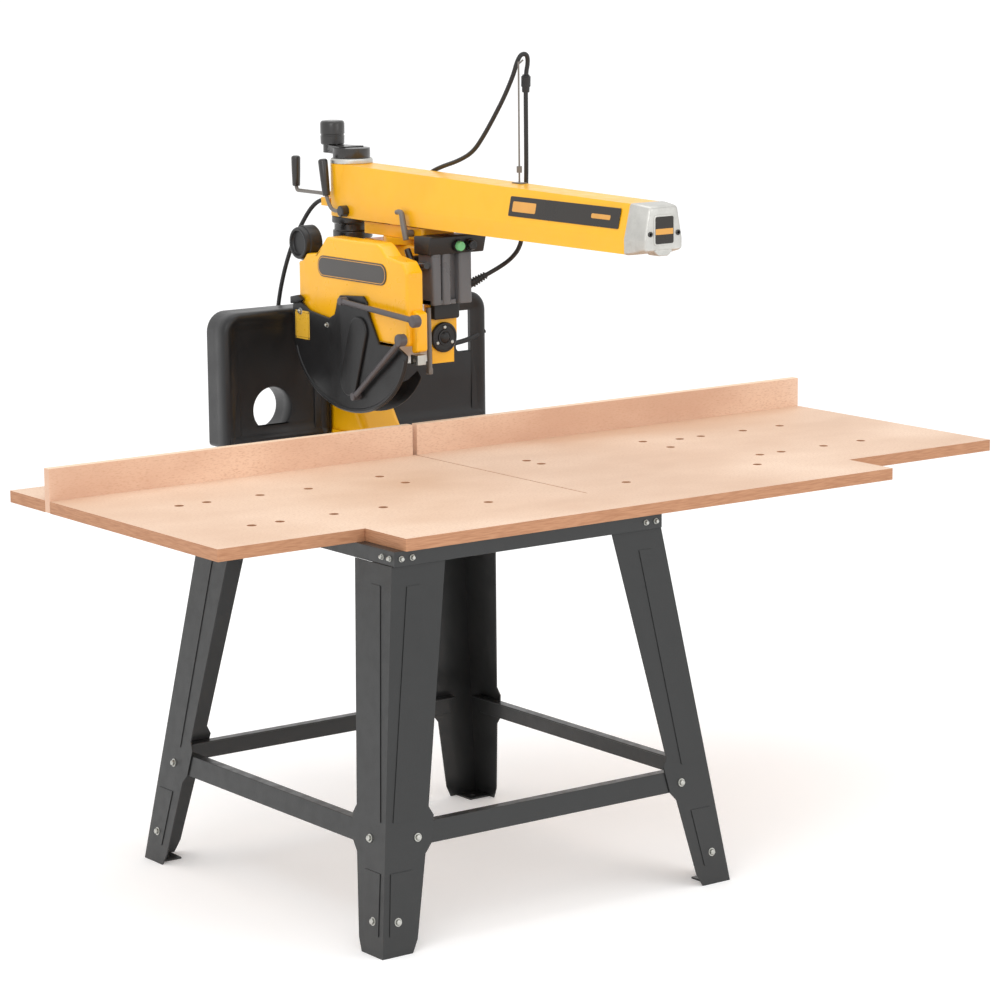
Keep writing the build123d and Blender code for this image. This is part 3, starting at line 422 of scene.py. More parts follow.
def knob_profile(length, low, high, radius):
    """A turned grip: flat base, slight taper and a rounded end."""
    turned = [(length - i, high - j) for j, i in edge_round(radius)]
    return [(0, 0), (0, low * 0.9), (length * 0.03, low), (length * 0.5, (low + high) / 2 * 1.03)] + [
        (a, r) for a, r in reversed(turned)] + [(length, 0)]


def mm(*values):
    return tuple(v * MM for v in values)


def yz(x_face):
    """Places (y, z, depth) on a face that looks along -X; depth grows to +X."""
    return lambda a, b, d: Vector(mm(x_face + d, a, b))


def xz(y_face):
    """Places (x, z, depth) on a face that looks along -Y; depth grows to +Y."""
    return lambda a, b, d: Vector(mm(a, y_face + d, b))


def xy(z_face):
    """Places (x, y, depth) on a face that looks along -Z; depth grows to +Z."""
    return lambda a, b, d: Vector(mm(a, b, z_face + d))


def tube(name, points, radii, finish, body, replaces=()):
    """A bent bar, cast lever or cable: one NURBS line with a radius at each point."""
    curve = bpy.data.curves.new(name, "CURVE")
    curve.dimensions = "3D"
    curve.bevel_depth = 1.0
    curve.bevel_resolution = 6
    curve.resolution_u = 10
    curve.use_fill_caps = True
    spline = curve.splines.new("NURBS")
    spline.points.add(len(points) - 1)
    for target, point, radius in zip(spline.points, points, radii):
        target.co = (*mm(*point), 1.0)
        target.radius = radius * MM
    spline.order_u = 3
    spline.use_endpoint_u = True
    curve.materials.append(finish)
    obj = bpy.data.objects.new(name, curve)
    bpy.context.scene.collection.objects.link(obj)
    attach(obj, body)
    if replaces:
        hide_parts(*replaces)
    return obj


def join(*meshes):
    """One bmesh from several."""
    whole = bmesh.new()
    for part in meshes:
        held = bpy.data.meshes.new("part")
        part.to_mesh(held)
        part.free()
        whole.from_mesh(held)
        bpy.data.meshes.remove(held)
    return whole


# ---- Driving sizes, read from the frame ---------------------------------------------------------
def box_mm(node):
    low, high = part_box(node)
    return tuple(v / MM for v in low), tuple(v / MM for v in high)


ARM_X = sum(v[0] for v in box_mm("column_tube")) / 2
COLUMN_Y = sum(v[1] for v in box_mm("column_tube")) / 2
MOTOR_Z = sum(v[2] for v in box_mm("blade")) / 2
GUARD_LEFT, GUARD_RIGHT = (v[0] for v in box_mm("upper_guard"))


# ---- Stand --------------------------------------------------------------------------------------
def bolt(bm, at, axis, washer, head):
    """A washer with a domed hexagon head on it."""
    lathe(bm, at, axis, [(-0.0005, washer), (0.0014, washer), (0.0018, washer * 0.93),
                         (0.0018, head * 1.02)], 28)
    lathe(bm, at, axis, [(0.0016, head), (0.0052, head), (0.0066, head * 0.82), (0.0073, head * 0.45),
                         (0.0075, 0)], 6)


LEG_TOP = (334.7, 349.7)
BRACE_BOLTS = (331.0, 368.0)
FOOT_BOLTS_Z, FOOT_BOLTS_IN = 66.0, 34.0
FRAME_WEB, FRAME_BOLTS_Z, FRAME_BOLTS_IN = (332.2, 356.0), 760.0, (16.0, 42.0)


def stand_bolts():
    """Bolt heads on both outer faces of each leg, at the brace, above the foot and at the frame."""
    low, high = box_mm("leg_front_right")
    foot_x, foot_y, top_z = high[0], -low[1], high[2]
    lean_x, lean_y = (foot_x - LEG_TOP[0]) / top_z, (foot_y - LEG_TOP[1]) / top_z
    brace_z = sum(v[2] for v in box_mm("brace_front")) / 2 - 4
    web_x, web_y = FRAME_WEB
    bm = bmesh.new()
    for sx in (-1, 1):
        for sy in (-1, 1):
            for z, inner in ((brace_z, BRACE_BOLTS), (FOOT_BOLTS_Z, None)):
                x, y = foot_x - lean_x * z, foot_y - lean_y * z
                in_x, in_y = inner or (x - FOOT_BOLTS_IN, y - FOOT_BOLTS_IN)
                bolt(bm, mm(sx * in_x, sy * (y + 0.4), z), (0, sy, lean_y), 0.0085, 0.006)
                bolt(bm, mm(sx * (x + 0.4), sy * in_y, z), (sx, 0, lean_x), 0.0085, 0.006)
            for offset in FRAME_BOLTS_IN:
                bolt(bm, mm(sx * web_x, sy * (web_y - offset), FRAME_BOLTS_Z), (sx, 0, 0), 0.006, 0.0045)
                bolt(bm, mm(sx * (web_x - offset), sy * web_y, FRAME_BOLTS_Z), (0, sy, 0), 0.006, 0.0045)
    piece("stand_bolt_heads", bm, MATERIALS["zinc"], "stand", ["stand_bolts"])


# ---- Dust hood ------------------------------------------------------------------------------------
PORT_X, PORT_Z, PORT_R = 186.0, 857.0, 51.0
WINDOW = [(708, 944), (764, 944), (764, 1040), (748, 1064), (708, 1064)]
WING_LEFT, WING_RIGHT = 343.0, 467.0
FIELD_DEPTH = 7


def hood_wing(name, left, right, radii, hole, hole_back, replaces=()):
    """One wing of the hood: rolled rim, sunken front field and a lipped hole through the field."""
    (_, y0, z0), (_, y1, z1) = box_mm("dust_hood")
    corners = [(left, z0), (right, z0), (right, z1), (left, z1)]
    outer = []
    for i, radius in enumerate(radii):
        outer += rounded(corners, radius, 8)[i * 9:(i + 1) * 9]
    rolled = [(12 * (1 - math.cos(t)), y0 + 12 * (1 - math.sin(t)))
              for t in (math.pi / 2 * k / 5 for k in range(1, 6))]
    section = [(0, y1), (0, y0 + 16)] + rolled + [
        (18, y0 + 0.4), (24, y0 + 3), (32, y0 + 6), (44, y0 + FIELD_DEPTH)]
    lip = [(-5, y0 + FIELD_DEPTH), (-1.5, y0 + 8), (0, y0 + 11), (0, hole_back)]
    bm = bmesh.new()
    rings, edge = ([loop(bm, [mm(a, y, b) for a, b in inset(outline, i)]) for i, y in steps]
                   for outline, steps in ((outer, section), (hole, lip)))
    skin(bm, rings, start=False, end=False)
    skin(bm, edge, start=False, end=False)
    field = [bm.edges.get((v, w)) or bm.edges.new((v, w)) for ring in (rings[-1], edge[0])
             for v, w in zip(ring, ring[1:] + ring[:1])]
    bmesh.ops.triangle_fill(bm, edges=field, use_beauty=True)
    made = piece(name, bm, MATERIALS["black_plastic"], "stand", replaces)
    wall = made.modifiers.new("wall", "SOLIDIFY")
    wall.thickness = 3 * MM
    wall.offset = -1


def hood():
    """A blow-moulded hood in two wings, the web behind them and the bar across the hand window."""
    (x0, y0, z0), (x1, y1, z1) = box_mm("dust_hood")
    port = [(PORT_X + PORT_R * math.cos(t), PORT_Z + PORT_R * math.sin(t))
            for t in (2 * math.pi * k / 48 for k in range(48))]
    hood_wing("hood_left_wing", x0, WING_LEFT, (10, 8, 8, 46), port, y1, ["dust_hood"])
    hood_wing("hood_right_wing", WING_RIGHT, x1, (8, 10, 46, 8), rounded(WINDOW, 12, 5), y0 + 18)
    wall = 4
    back = [(WING_LEFT - wall, y0 + 2), (WING_LEFT - wall, y1), (WING_RIGHT + wall, y1),
            (WING_RIGHT + wall, y0 + 2), (WING_RIGHT, y0 + 2), (WING_RIGHT, y1 - wall),
            (WING_LEFT, y1 - wall), (WING_LEFT, y0 + 2)]
    bm = bmesh.new()
    skin(bm, [loop(bm, [mm(a, b, z) for a, b in back]) for z in (z0 + 2, z1 - 1)])
    black = MATERIALS["black_plastic"]
    piece("hood_back_web", bm, black, "stand")
    bar_y = y0 + FIELD_DEPTH
    tube("hood_bar", [(700, bar_y, 965), (732, bar_y, 968), (764, bar_y, 978), (790, bar_y, 988)],
         [6] * 4, black, "stand")


# ---- Guards -----------------------------------------------------------------------------------------
SPOUT = (856.0, 1238.0)
UPPER = [(852, 1106), (852, 1204), (778, 1222), (756, 1242), (736, 1262), (536, 1262), (522, 1256),
         (497, 1236), (439, 1228), (419, 1206), (419, 1043), (800, 1043), (836, 1098)]


def spout_bite(points, radius):
    """Takes a round bite for the spout out of the guard's rear top corner."""
    y, z = SPOUT
    result = []
    for point in points:
        if math.dist(point, SPOUT) < radius:
            lower = (point[0], z - math.sqrt(radius ** 2 - (point[0] - y) ** 2))
            first, last = math.atan2(lower[1] - z, lower[0] - y), math.radians(-150)
            turns = [first + (last - first) * k / 6 for k in range(1, 7)]
            result.append(lower)
            result += [(y + radius * math.cos(t), z + radius * math.sin(t)) for t in turns]
        else:
            result.append(point)
    return result


def upper_guard():
    """The pressed cover with its nose, and the plain badge in its rim."""
    yellow = MATERIALS["yellow_sheet"]
    outline = rounded(spout_bite(UPPER, 40.6), 9, 4)
    bm = moulding(outline, yz(GUARD_LEFT), GUARD_RIGHT - GUARD_LEFT, 7, hollow=3)
    piece("guard_cover", bm, yellow, "motor", ["upper_guard"])
    nose = rounded([(424, 1126), (400, 1118), (400, 1034), (424, 1026)], 6, 3)
    piece("guard_nose", moulding(nose, yz(GUARD_RIGHT - 28), 28, 4, 4), yellow, "motor")
    low, high = box_mm("guard_badge")
    plate = rectangle(*low[1:], *high[1:], 22, 8)
    face = low[0] - 0.4
    piece("badge_plate", moulding(plate, yz(face), 2.6, 0.6), BADGE_GREY, "motor",
          ["guard_badge"])
    bm = rim(plate, ((2.6, face + 0.1), (2.8, face - 0.5), (4.2, face - 0.5), (4.4, face + 0.1)))
    piece("badge_rim", bm, GOLD_INK, "motor")


LEAF_X = 234.0
LEAF_CENTRE, LEAF_RY, LEAF_RZ = (637.0, 1043.0), 228.0, 169.0
LEAF_TOP = [(444, 1040), (519, 1040), (540, 1074), (558, 1102), (566, 1130), (579, 1142), (672, 1136),
            (684, 1118), (692, 1092), (717, 1080), (798, 1090), (835, 1108), (862, 1112), (866, 1096)]
HINGE = (832.0, 1085.0)
LINKS = (((354, 1109), (643, 1126)), ((409, 1062), (597, 916)))


def ellipse(start, end, steps, shrink=0.0):
    """Points along the leaf's lower edge between two angles in degrees, moved inwards by shrink."""
    y, z = LEAF_CENTRE
    return [(y + (LEAF_RY - shrink) * math.cos(t), z + (LEAF_RZ - shrink) * math.sin(t))
            for t in (math.radians(start + (end - start) * k / steps) for k in range(steps + 1))]


def leaf_bead():
    """A low bead with a flat top along the leaf's lower edge."""
    bm = bmesh.new()
    lines = []
    for points in zip(ellipse(190, 346, 60, 2), ellipse(190, 346, 60, 11)):
        outer, inner = (Vector(p) for p in points)
        section = ((LEAF_X + 0.3, outer), (LEAF_X - 1.6, outer.lerp(inner, 0.2)),
                   (LEAF_X - 1.6, outer.lerp(inner, 0.8)), (LEAF_X + 0.3, inner))
        lines.append(loop(bm, [mm(x, *at) for x, at in section]))
    for first, second in zip(lines, lines[1:]):
        for i in range(3):
            bm.faces.new((first[i], first[i + 1], second[i + 1], second[i]))
    return bm


def capsule(centre, half, radius, tilt):
    """A closed outline with two round ends, about a middle line of that half length and tilt."""
    along = Vector((math.cos(tilt), math.sin(tilt))) * half
    points = []
    for end, base in ((centre + along, tilt - math.pi / 2), (centre - along, tilt + math.pi / 2)):
        turns = [base + math.pi * k / 14 for k in range(15)]
        points += [tuple(end + radius * Vector((math.cos(t), math.sin(t)))) for t in turns]
    return points


def lower_guard():
    """The moving guard: outer leaf with bead, boss, sticker, rivets and tab, and the inner leaf."""
    plastic = MATERIALS["black_plastic"]

    def part(name, bm, finish=plastic, slot="black_plastic", replaces=()):
        piece(name, bm, finish, "lower_guard", replaces)

    outline = rounded(ellipse(186, 350, 40) + list(reversed(LEAF_TOP)), 5, 3)
    part("leaf_cover", moulding(outline, yz(LEAF_X), 6, 2.2, 1), replaces=["lower_guard"])
    part("leaf_bead", leaf_bead())
    boss = capsule(Vector((612, 1004)), 62, 33, math.radians(19 + 90))
    part("leaf_boss", moulding(boss, yz(LEAF_X - 7), 8, 4))
    sticker = rectangle(796, 1022, 854, 1087, 3, 3)
    part("leaf_sticker", moulding(sticker, yz(LEAF_X - 0.8), 0.9, 0.3), WARM_PLATE, "label_dark")
    border = rim(inset(sticker, 4), ((0, LEAF_X - 0.7), (0, LEAF_X - 1), (2, LEAF_X - 1), (2, LEAF_X - 0.7)))
    part("sticker_border", border, MATERIALS["label_dark"], "label_dark")
    bm = bmesh.new()
    bolt(bm, mm(LEAF_X, 722, 1064), (-1, 0, 0), 0.006, 0.004)
    bolt(bm, mm(LEAF_X, *HINGE), (-1, 0, 0), 0.008, 0.0055)
    part("leaf_rivets", bm, MATERIALS["zinc"], "zinc")
    tab = rounded([(868, 1100), (868, 1116), (838, 1122), (820, 1112), (838, 1104)], 2, 3)
    part("leaf_tab", moulding(tab, yz(LEAF_X - 5), 10, 1.5))
    inner = ellipse(205, 350, 30) + [(848, 1094), (818, 1094), (808, 1000), (775, 958), (720, 930),
                                     (640, 920), (560, 930), (480, 962), (445, 985)]
    part("leaf_inner", moulding(rounded(inner, 3, 2), yz(286.6), 2.6, 0.6, 0.6))


def guard_links():
    """Two parallel rods that lift the guard, each with a turned pivot at its ends."""
    bm = bmesh.new()
    for start, end in LINKS:
        a, b = Vector(mm(221, *start)), Vector(mm(221, *end))
        length = (b - a).length
        lathe(bm, a, b - a, [(0, 0.0078), (length * 0.1, 0.0068), (length * 0.9, 0.0062),
                             (length, 0.0068)], 20)
        lathe(bm, mm(209, *start), (1, 0, 0), [(0, 0), (0, 0.0105), (0.0012, 0.0128), (0.003, 0.0138),
                                               (0.017, 0.0138), (0.019, 0.0125), (0.019, 0)], 32)
        lathe(bm, mm(213, *end), (1, 0, 0), [(0, 0), (0, 0.0065), (0.0015, 0.0088), (0.021, 0.0088),
                                             (0.021, 0)], 28)
    piece("link_rods", bm, LINK_GREY, "lower_guard", ["guard_links"])


def spout():
    """The round cap on the dust spout."""
    bm = lathe(bmesh.new(), mm(244, *SPOUT), (1, 0, 0),
               [(0.008, 0), (0.0075, 0.026), (0.006, 0.0275), (0.001, 0.029), (0.0, 0.031), (0.0, 0.0335),
                (0.0012, 0.0355), (0.004, 0.0368), (0.012, 0.0372), (0.013, 0.0392), (0.016, 0.0398),
                (0.042, 0.0398), (0.044, 0.038), (0.044, 0)], 64)
    piece("spout_cap", bm, MATERIALS["black_plastic"], "dust_spout", ["dust_spout"])


# ---- Arm -----------------------------------------------------------------------------------------
WAIST_Z, CROWN_Z = 1324, 1404


def arm_ring(y, waist, crown, top, low, radius):
    """A section across the arm: upright to the waist, then leaning in to the crown."""
    outline = [(-waist, low), (-waist, WAIST_Z), (-crown, top), (crown, top), (waist, WAIST_Z), (waist, low)]
    return [(ARM_X + x, y, z) for x, z in rounded(outline, radius, 4)]


def end_cap():
    """The cast cap at the front of the arm, with its label window, screws and lug."""
    bm = bmesh.new()
    sections = [(-216.2, 59, 42, 1396, 1291, 6), (-222, 59.4, 42.4, 1396.4, 1290.5, 6),
                (-236, 57, 41, 1395.5, 1292, 6), (-266, 50, 37, 1392.5, 1299, 7),
                (-271, 48.5, 35.6, 1391, 1301, 7), (-273.4, 46, 33, 1388.6, 1303.4, 7),
                (-274, 43.5, 30.6, 1386, 1306, 7)]
    skin(bm, [loop(bm, [mm(*p) for p in arm_ring(*s)]) for s in sections])
    silver = MATERIALS["cast_silver"]
    piece("cap_casting", bm, silver, "arm", ["arm_end_cap"])
    lug = rounded([(ARM_X - 30, 1304), (ARM_X - 12, 1289.4), (ARM_X + 12, 1289.4), (ARM_X + 30, 1304)], 6, 4)
    piece("cap_lug", moulding(lug, xz(-273), 34, 3), silver, "arm")
    window = rectangle(ARM_X - 24, 1315, ARM_X + 24, 1371, 4, 4)
    bm = bmesh.new()
    rings = [loop(bm, [mm(a, y, b) for a, b in inset(window, i)])
             for i, y in ((-4, -273.8), (-3.4, -275.2), (-1, -275.8), (0, -275.2), (0.4, -273.8))]
    skin(bm, rings, start=False, end=False)
    piece("cap_window_frame", bm, silver, "arm")
    piece("cap_label", moulding(inset(window, -0.5), xz(-274.6), 1.4, 0.3), MATERIALS["label_dark"], "arm",
          ["end_label"])
    bar = rectangle(ARM_X - 23, 1334, ARM_X + 23, 1346, 1, 2)
    piece("cap_label_bar", moulding(bar, xz(-274.9), 0.8, 0.2), GOLD_INK, "arm")
    bm = bmesh.new()
    for side in (-1, 1):
        at = mm(ARM_X + side * 36.5, -276.2, 1336)
        lathe(bm, at, (0, 1, 0), [(0.0022, 0), (0.0022, 0.0028), (0.0004, 0.0032), (0, 0.0045),
                                  (0.0004, 0.0056), (0.0026, 0.006), (0.004, 0.006)], 28)
    piece("cap_screws", bm, MATERIALS["black_metal"], "arm")


def arm_side(z):
    """How far the arm's leaning side stands from its middle at that height."""
    return 57 - 16.5 * (z - WAIST_Z) / (CROWN_Z - WAIST_Z)


def arm_labels():
    """A plain dark strip with a plain gold bar on each side of the arm, with no lettering."""
    for side, tag in ((-1, "left"), (1, "right")):
        for name, y0, y1, z0, z1, lift, finish in (
                ("strip", -190.0, 190.0, 1342.0, 1384.0, 1.2, MATERIALS["label_dark"]),
                ("strip_bar", 96.0, 178.0, 1352.0, 1374.0, 1.6, GOLD_INK),
                ("strip_line", -160.0, -96.0, 1358.0, 1368.0, 1.6, GOLD_INK)):
            bm = bmesh.new()
            corner = rectangle(y0, z0, y1, z1, 3, 3)
            rings = [loop(bm, [mm(ARM_X + side * (arm_side(b) + out), a, b) for a, b in inset(corner, i)])
                     for i, out in ((0, 0), (0, lift * 0.7), (0.3, lift))]
            skin(bm, rings, start=False)
            replaced = ["arm_label"] if (side, name) == (-1, "strip") else ()
            piece(f"arm_{name}_{tag}", bm, finish, "arm", replaced)


def crank():
    """The cast crank arm that rises from the hub to the knob."""
    knob_y = sum(v[1] for v in box_mm("crank_knob")) / 2
    bm = bmesh.new()
    rings = []
    for t in (0, 0.15, 0.35, 0.55, 0.75, 0.9, 1.0):
        y = COLUMN_Y + (knob_y - COLUMN_Y) * t
        half_width = 37 + (21 - 37) * t
        base = 1426 + 8 * t
        top = 1448.5 + 1.7 * t
        corners = [(-half_width, base), (half_width, base), (half_width * 0.8, top), (-half_width * 0.8, top)]
        rings.append(loop(bm, [mm(ARM_X + a, y, b) for a, b in rounded(corners, 7, 4)]))
    skin(bm, rings)
    black = MATERIALS["black_metal"]
    piece("crank_web", bm, black, "crank")
    hub = lathe(bmesh.new(), mm(ARM_X, COLUMN_Y, 1424.5), (0, 0, 1),
                [(0, 0), (0, 0.042), (0.002, 0.0432), (0.018, 0.0432), (0.0215, 0.041), (0.023, 0.036),
                 (0.0232, 0)], 48)
    piece("crank_hub", hub, black, "crank")
    grip = lathe(bmesh.new(), mm(ARM_X, knob_y, 1450.6), (0, 0, 1),
                 [(0, 0), (0, 0.0255), (0.002, 0.0275), (0.02, 0.0282), (0.021, 0.027), (0.024, 0.027),
                  (0.025, 0.0283), (0.048, 0.0284), (0.052, 0.0272), (0.0545, 0.0245), (0.0552, 0.020),
                  (0.0552, 0)], 48)
    piece("knob_grip", grip, black, "crank_knob", ["crank_knob"])


def rear_handles():
    """Two cranked rods with turned black grips, and the clamp's knob."""
    black, grey = MATERIALS["black_metal"], MATERIALS["lever_grey"]
    x, y, z = ARM_X - 62.2, COLUMN_Y - 53, 1308
    tube("clamp_rod", [(x + 4, y, z), (x, y + 10, z), (x, y + 42, z - 2), (x, y + 60, z + 16),
                       (x, y + 70, z + 40)], [4.5] * 5, grey, "mitre_clamp",
         ["mitre_clamp_handle"])
    grip = lathe(bmesh.new(), mm(x, y + 66.4, z + 31), (0, 14, 86),
                 knob_profile(0.085, 0.009, 0.0112, 0.006), 28)
    piece("clamp_grip", grip, black, "mitre_clamp")
    boss = lathe(bmesh.new(), mm(x - 9, y, z), (1, 0, 0),
                 [(0, 0), (0, 0.010), (0.002, 0.0128), (0.0178, 0.013), (0.0178, 0)], 32)
    piece("clamp_boss", boss, black, "mitre_clamp")
    x, y, z, reach = ARM_X - 39, COLUMN_Y + 48, 1340, 128
    tube("latch_rod", [(x, y + 1, z), (x, y + 40, z), (x, y + reach - 18, z), (x, y + reach, z),
                       (x, y + reach, z + 16)], [4.5] * 5, grey, "mitre_latch",
         ["mitre_latch_handle"])
    grip = lathe(bmesh.new(), mm(x, y + reach, z + 10), (0, 0, 1),
                 knob_profile(0.0708, 0.0092, 0.0108, 0.006), 28)
    piece("latch_grip", grip, black, "mitre_latch")


# ---- Head ----------------------------------------------------------------------------------------
def head_levers():
    """The carriage lock hook, the swivel clamp handle and the bevel lever."""
    x = ARM_X - 70
    grey, black = MATERIALS["lever_grey"], MATERIALS["black_metal"]
    tube("lock_hook", [(x, 551, 1263), (x, 556, 1281), (x, 563, 1302), (x, 566, 1320), (x, 576, 1325),
                       (x, 587, 1322)], [6.5, 7, 7, 6.5, 6, 5.5], grey, "carriage_lock",
         ["carriage_lock"])
    tube("lock_pivot", [(ARM_X - 47, 560, 1276), (ARM_X - 58, 560, 1276), (x + 1, 559, 1277)],
         [8, 8.5, 7], grey, "carriage_lock")
    tube("swivel_handle", [(ARM_X - 71, 545, 1242), (ARM_X - 72, 531, 1219), (ARM_X - 75, 514, 1208),
                           (ARM_X - 78.5, 488, 1211), (ARM_X - 79, 459, 1214)],
         [7.5, 8, 8, 8, 8], black, "yoke_clamp", ["yoke_clamp_lever"])
    tube("swivel_pivot", [(ARM_X - 41, 537, 1220), (ARM_X - 56, 537, 1220), (ARM_X - 73, 536, 1220)],
         [9, 8.5, 7.5], black, "yoke_clamp")
    tube("bevel_pivot", [(ARM_X - 40, 521, 1092), (ARM_X - 56, 521, 1092), (ARM_X - 61, 502, 1090),
                         (ARM_X - 62, 481, 1088)], [7, 7, 6, 6], grey, "bevel_lever",
         ["bevel_lever"])
    tube("bevel_bar", [(ARM_X - 62, 480, 1117), (ARM_X - 62.6, 478, 1060), (ARM_X - 64, 474, 978)],
         [5.8, 6, 5.4], grey, "bevel_lever")
    tip = rectangle(ARM_X - 70, 968.5, ARM_X - 58, 984, 3, 3)
    piece("bevel_tip", moulding(tip, xz(469), 11, 2, 2), grey, "bevel_lever")


def switch_box():
    """The wedge-shaped box above the grip, with rounded ends."""
    left, right, radius = ARM_X - 80, ARM_X + 72, 3
    side = rounded([(508, 1236), (508, 1276), (440, 1278), (452, 1236)], 3.5, 4)
    levels = [(i, left + d) for i, d in edge_round(radius)]
    levels += [(i, right - d) for i, d in reversed(edge_round(radius))]
    bm = bmesh.new()
    skin(bm, [loop(bm, [mm(x, a, b) for a, b in inset(side, i)]) for i, x in levels])
    piece("switch_box", bm, MATERIALS["black_plastic"], "yoke", ["control_grip"])


def grip():
    """The fluted grip and the skirt below it."""
    middle, base = ARM_X - 10, 1124
    columns = [moulding(rectangle(middle + left, 452, middle + right, 511, 7, 5), xy(base), 113, 2)
               for left, right in ((-58, -33), (-30, -7), (14, 50))]
    core = moulding(rectangle(middle - 56, 470, middle + 48, 511, 4, 3), xy(base + 1), 111.5, 2)
    foot = moulding(rectangle(middle - 58, 456, middle + 10, 500, 6, 3), xy(base), 10, 2)
    piece("grip_columns", join(*columns, core, foot), GRIP_GREY, "yoke")
    skirt = rectangle(ARM_X - 34, 1085, ARM_X + 36, base, 5, 3)
    piece("grip_skirt", moulding(skirt, xz(496.5), 15, 3), MATERIALS["black_plastic"], "yoke")


def strain_relief():
    """The ribbed rubber sleeve that the motor cable comes out of."""
    root, end = Vector(mm(440, 471, 1158)), Vector(mm(474, 438, 1185))
    length = (end - root).length
    profile = [(0, 0), (0, 0.0105)]
    ribs = 6
    for k in range(ribs):
        at = length * (0.3 + 0.7 * k / ribs)
        wide = 0.0112 - 0.0032 * k / ribs
        groove = wide - 0.0028
        profile += [(at, groove), (at + 0.0008, wide), (at + 0.0032, wide), (at + 0.004, groove)]
    profile += [(length - 0.0002, 0.0056), (length - 0.0002, 0)]
    piece("strain_relief", lathe(bmesh.new(), root, end - root, profile, 24), MATERIALS["cable_rubber"],
          "yoke")


def buttons():
    """The start and stop buttons, each in a fixed collar."""
    for name, slot in (("start_button", "start_green"), ("stop_button", "stop_black")):
        low, high = box_mm(name)
        x, z = (low[0] + high[0]) / 2, (low[2] + high[2]) / 2
        collar = lathe(bmesh.new(), mm(x, 439.5, z), (0, 1, 0),
                       [(0, 0.0114), (0, 0.0132), (0.002, 0.0142), (0.012, 0.0142)], 32)
        piece(name + "_collar", collar, MATERIALS["black_plastic"], "yoke")
        front = lathe(bmesh.new(), mm(x, 430, z), (0, 1, 0),
                      [(0, 0), (0.0001, 0.0075), (0.0009, 0.0098), (0.0025, 0.0108), (0.02, 0.0108)], 32)
        piece(name + "_cap", front, MATERIALS[slot], name, [name])


def bevel_dial():
    """The round bevel scale on the end of the motor, with its hub and three screws."""
    y = box_mm("bevel_dial")[1][1]
    bm = lathe(bmesh.new(), mm(ARM_X, y - 0.2, MOTOR_Z), (0, -1, 0),
               [(0, 0.034), (0.005, 0.034), (0.0072, 0.032), (0.0076, 0.029), (0.006, 0.0275),
                (0.006, 0.0185), (0.0082, 0.0175), (0.0082, 0.0135), (0.007, 0.013), (0.0105, 0.0095),
                (0.0122, 0.006), (0.0122, 0)], 56)
    piece("dial_face", bm, MATERIALS["black_plastic"], "motor", ["bevel_dial"])
    bm = bmesh.new()
    for k in range(3):
        turn = math.radians(90 + 120 * k)
        at = mm(ARM_X + 23 * math.cos(turn), y - 6, MOTOR_Z + 23 * math.sin(turn))
        lathe(bm, at, (0, -1, 0), [(0, 0.004), (0.002, 0.004), (0.0028, 0.003), (0.003, 0)], 20)
    piece("dial_screws", bm, MATERIALS["zinc"], "motor")


# ---- Cables -----------------------------------------------------------------------------------------
CABLE_R = 0.005
MOTOR_CABLE = [(474.2, 437.8, 1185.2), (496, 416.6, 1202.3), (504, 382, 1225), (501, 347, 1254),
               (491, 319, 1307), (484, 301, 1395), (479, 294, 1500), (475, 289, 1590), (470, 281, 1638),
               (470, 273, 1662), (463, 268, 1680), (447, 268, 1680), (440, 274, 1662), (440, 285, 1637),
               (440, 317, 1590), (438, 352, 1545), (437, 391, 1500), (445, 445, 1458), (450, 512, 1434),
               (455, 580, 1418), (460, 636, 1400), (461, 668, 1381)]
REAR_CABLE = [(374, 937, 1324), (373, 956, 1322.5), (360, 975, 1303), (343, 989, 1266), (322, 1004, 1212),
              (308, 1020, 1143), (301, 1034, 1070), (299, 1038, 990), (299, 1026, 912), (300, 1004, 847),
              (300, 1000, 792.4)]


def smooth_line(route):
    """The points of the NURBS line that a route controls."""
    curve = bpy.data.curves.new("route", "CURVE")
    curve.dimensions = "3D"
    curve.resolution_u = 10
    spline = curve.splines.new("NURBS")
    spline.points.add(len(route) - 1)
    for target, point in zip(spline.points, route):
        target.co = (*mm(*point), 1.0)
    spline.order_u = 3
    spline.use_endpoint_u = True
    holder = bpy.data.objects.new("route", curve)
    mesh = bpy.data.meshes.new_from_object(holder)
    line = [vert.co.copy() for vert in mesh.vertices]
    bpy.data.objects.remove(holder)
    return line


def cord_tube(line, radius, sides=14):
    """A round tube along a line, its rings turned as little as possible from one to the next."""
    bm = bmesh.new()
    rings = []
    count = len(line)
    side = (line[1] - line[0]).orthogonal().normalized()
    for i, at in enumerate(line):
        along = (line[min(i + 1, count - 1)] - line[max(i - 1, 0)]).normalized()
        side = (side - along * side.dot(along)).normalized()
        other = along.cross(side)
        turns = [2 * math.pi * k / sides for k in range(sides)]
        rings.append(loop(bm, [at + radius * (side * math.cos(t) + other * math.sin(t)) for t in turns]))
    skin(bm, rings)
    return bm


def cable(name, route, node):
    """A cable tube along a route, on no body, in place of its CAD node."""
    line = smooth_line(route)
    obj = piece(name, cord_tube(line, CABLE_R), MATERIALS["cable_rubber"], None, [node])
    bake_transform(obj)


def cables():
    """The motor cable with its sleeve on the mast, and the rear cable."""
    cable("motor_lead", MOTOR_CABLE, "motor_cable")
    cable("rear_lead", REAR_CABLE, "rear_cable")
    low, high = Vector(mm(474.6, 288.4, 1597)), Vector(mm(470.8, 282, 1634))
    sleeve = lathe(bmesh.new(), low, high - low,
                   [(0, 0.0045), (0, 0.0082), (0.012, 0.0086), (0.0125, 0.0104), (0.034, 0.0104),
                    (0.0345, 0.0082), (0.0375, 0.0080), (0.0375, 0.0045)], 24)
    piece("mast_sleeve", sleeve, MATERIALS["cable_rubber"], "arm")


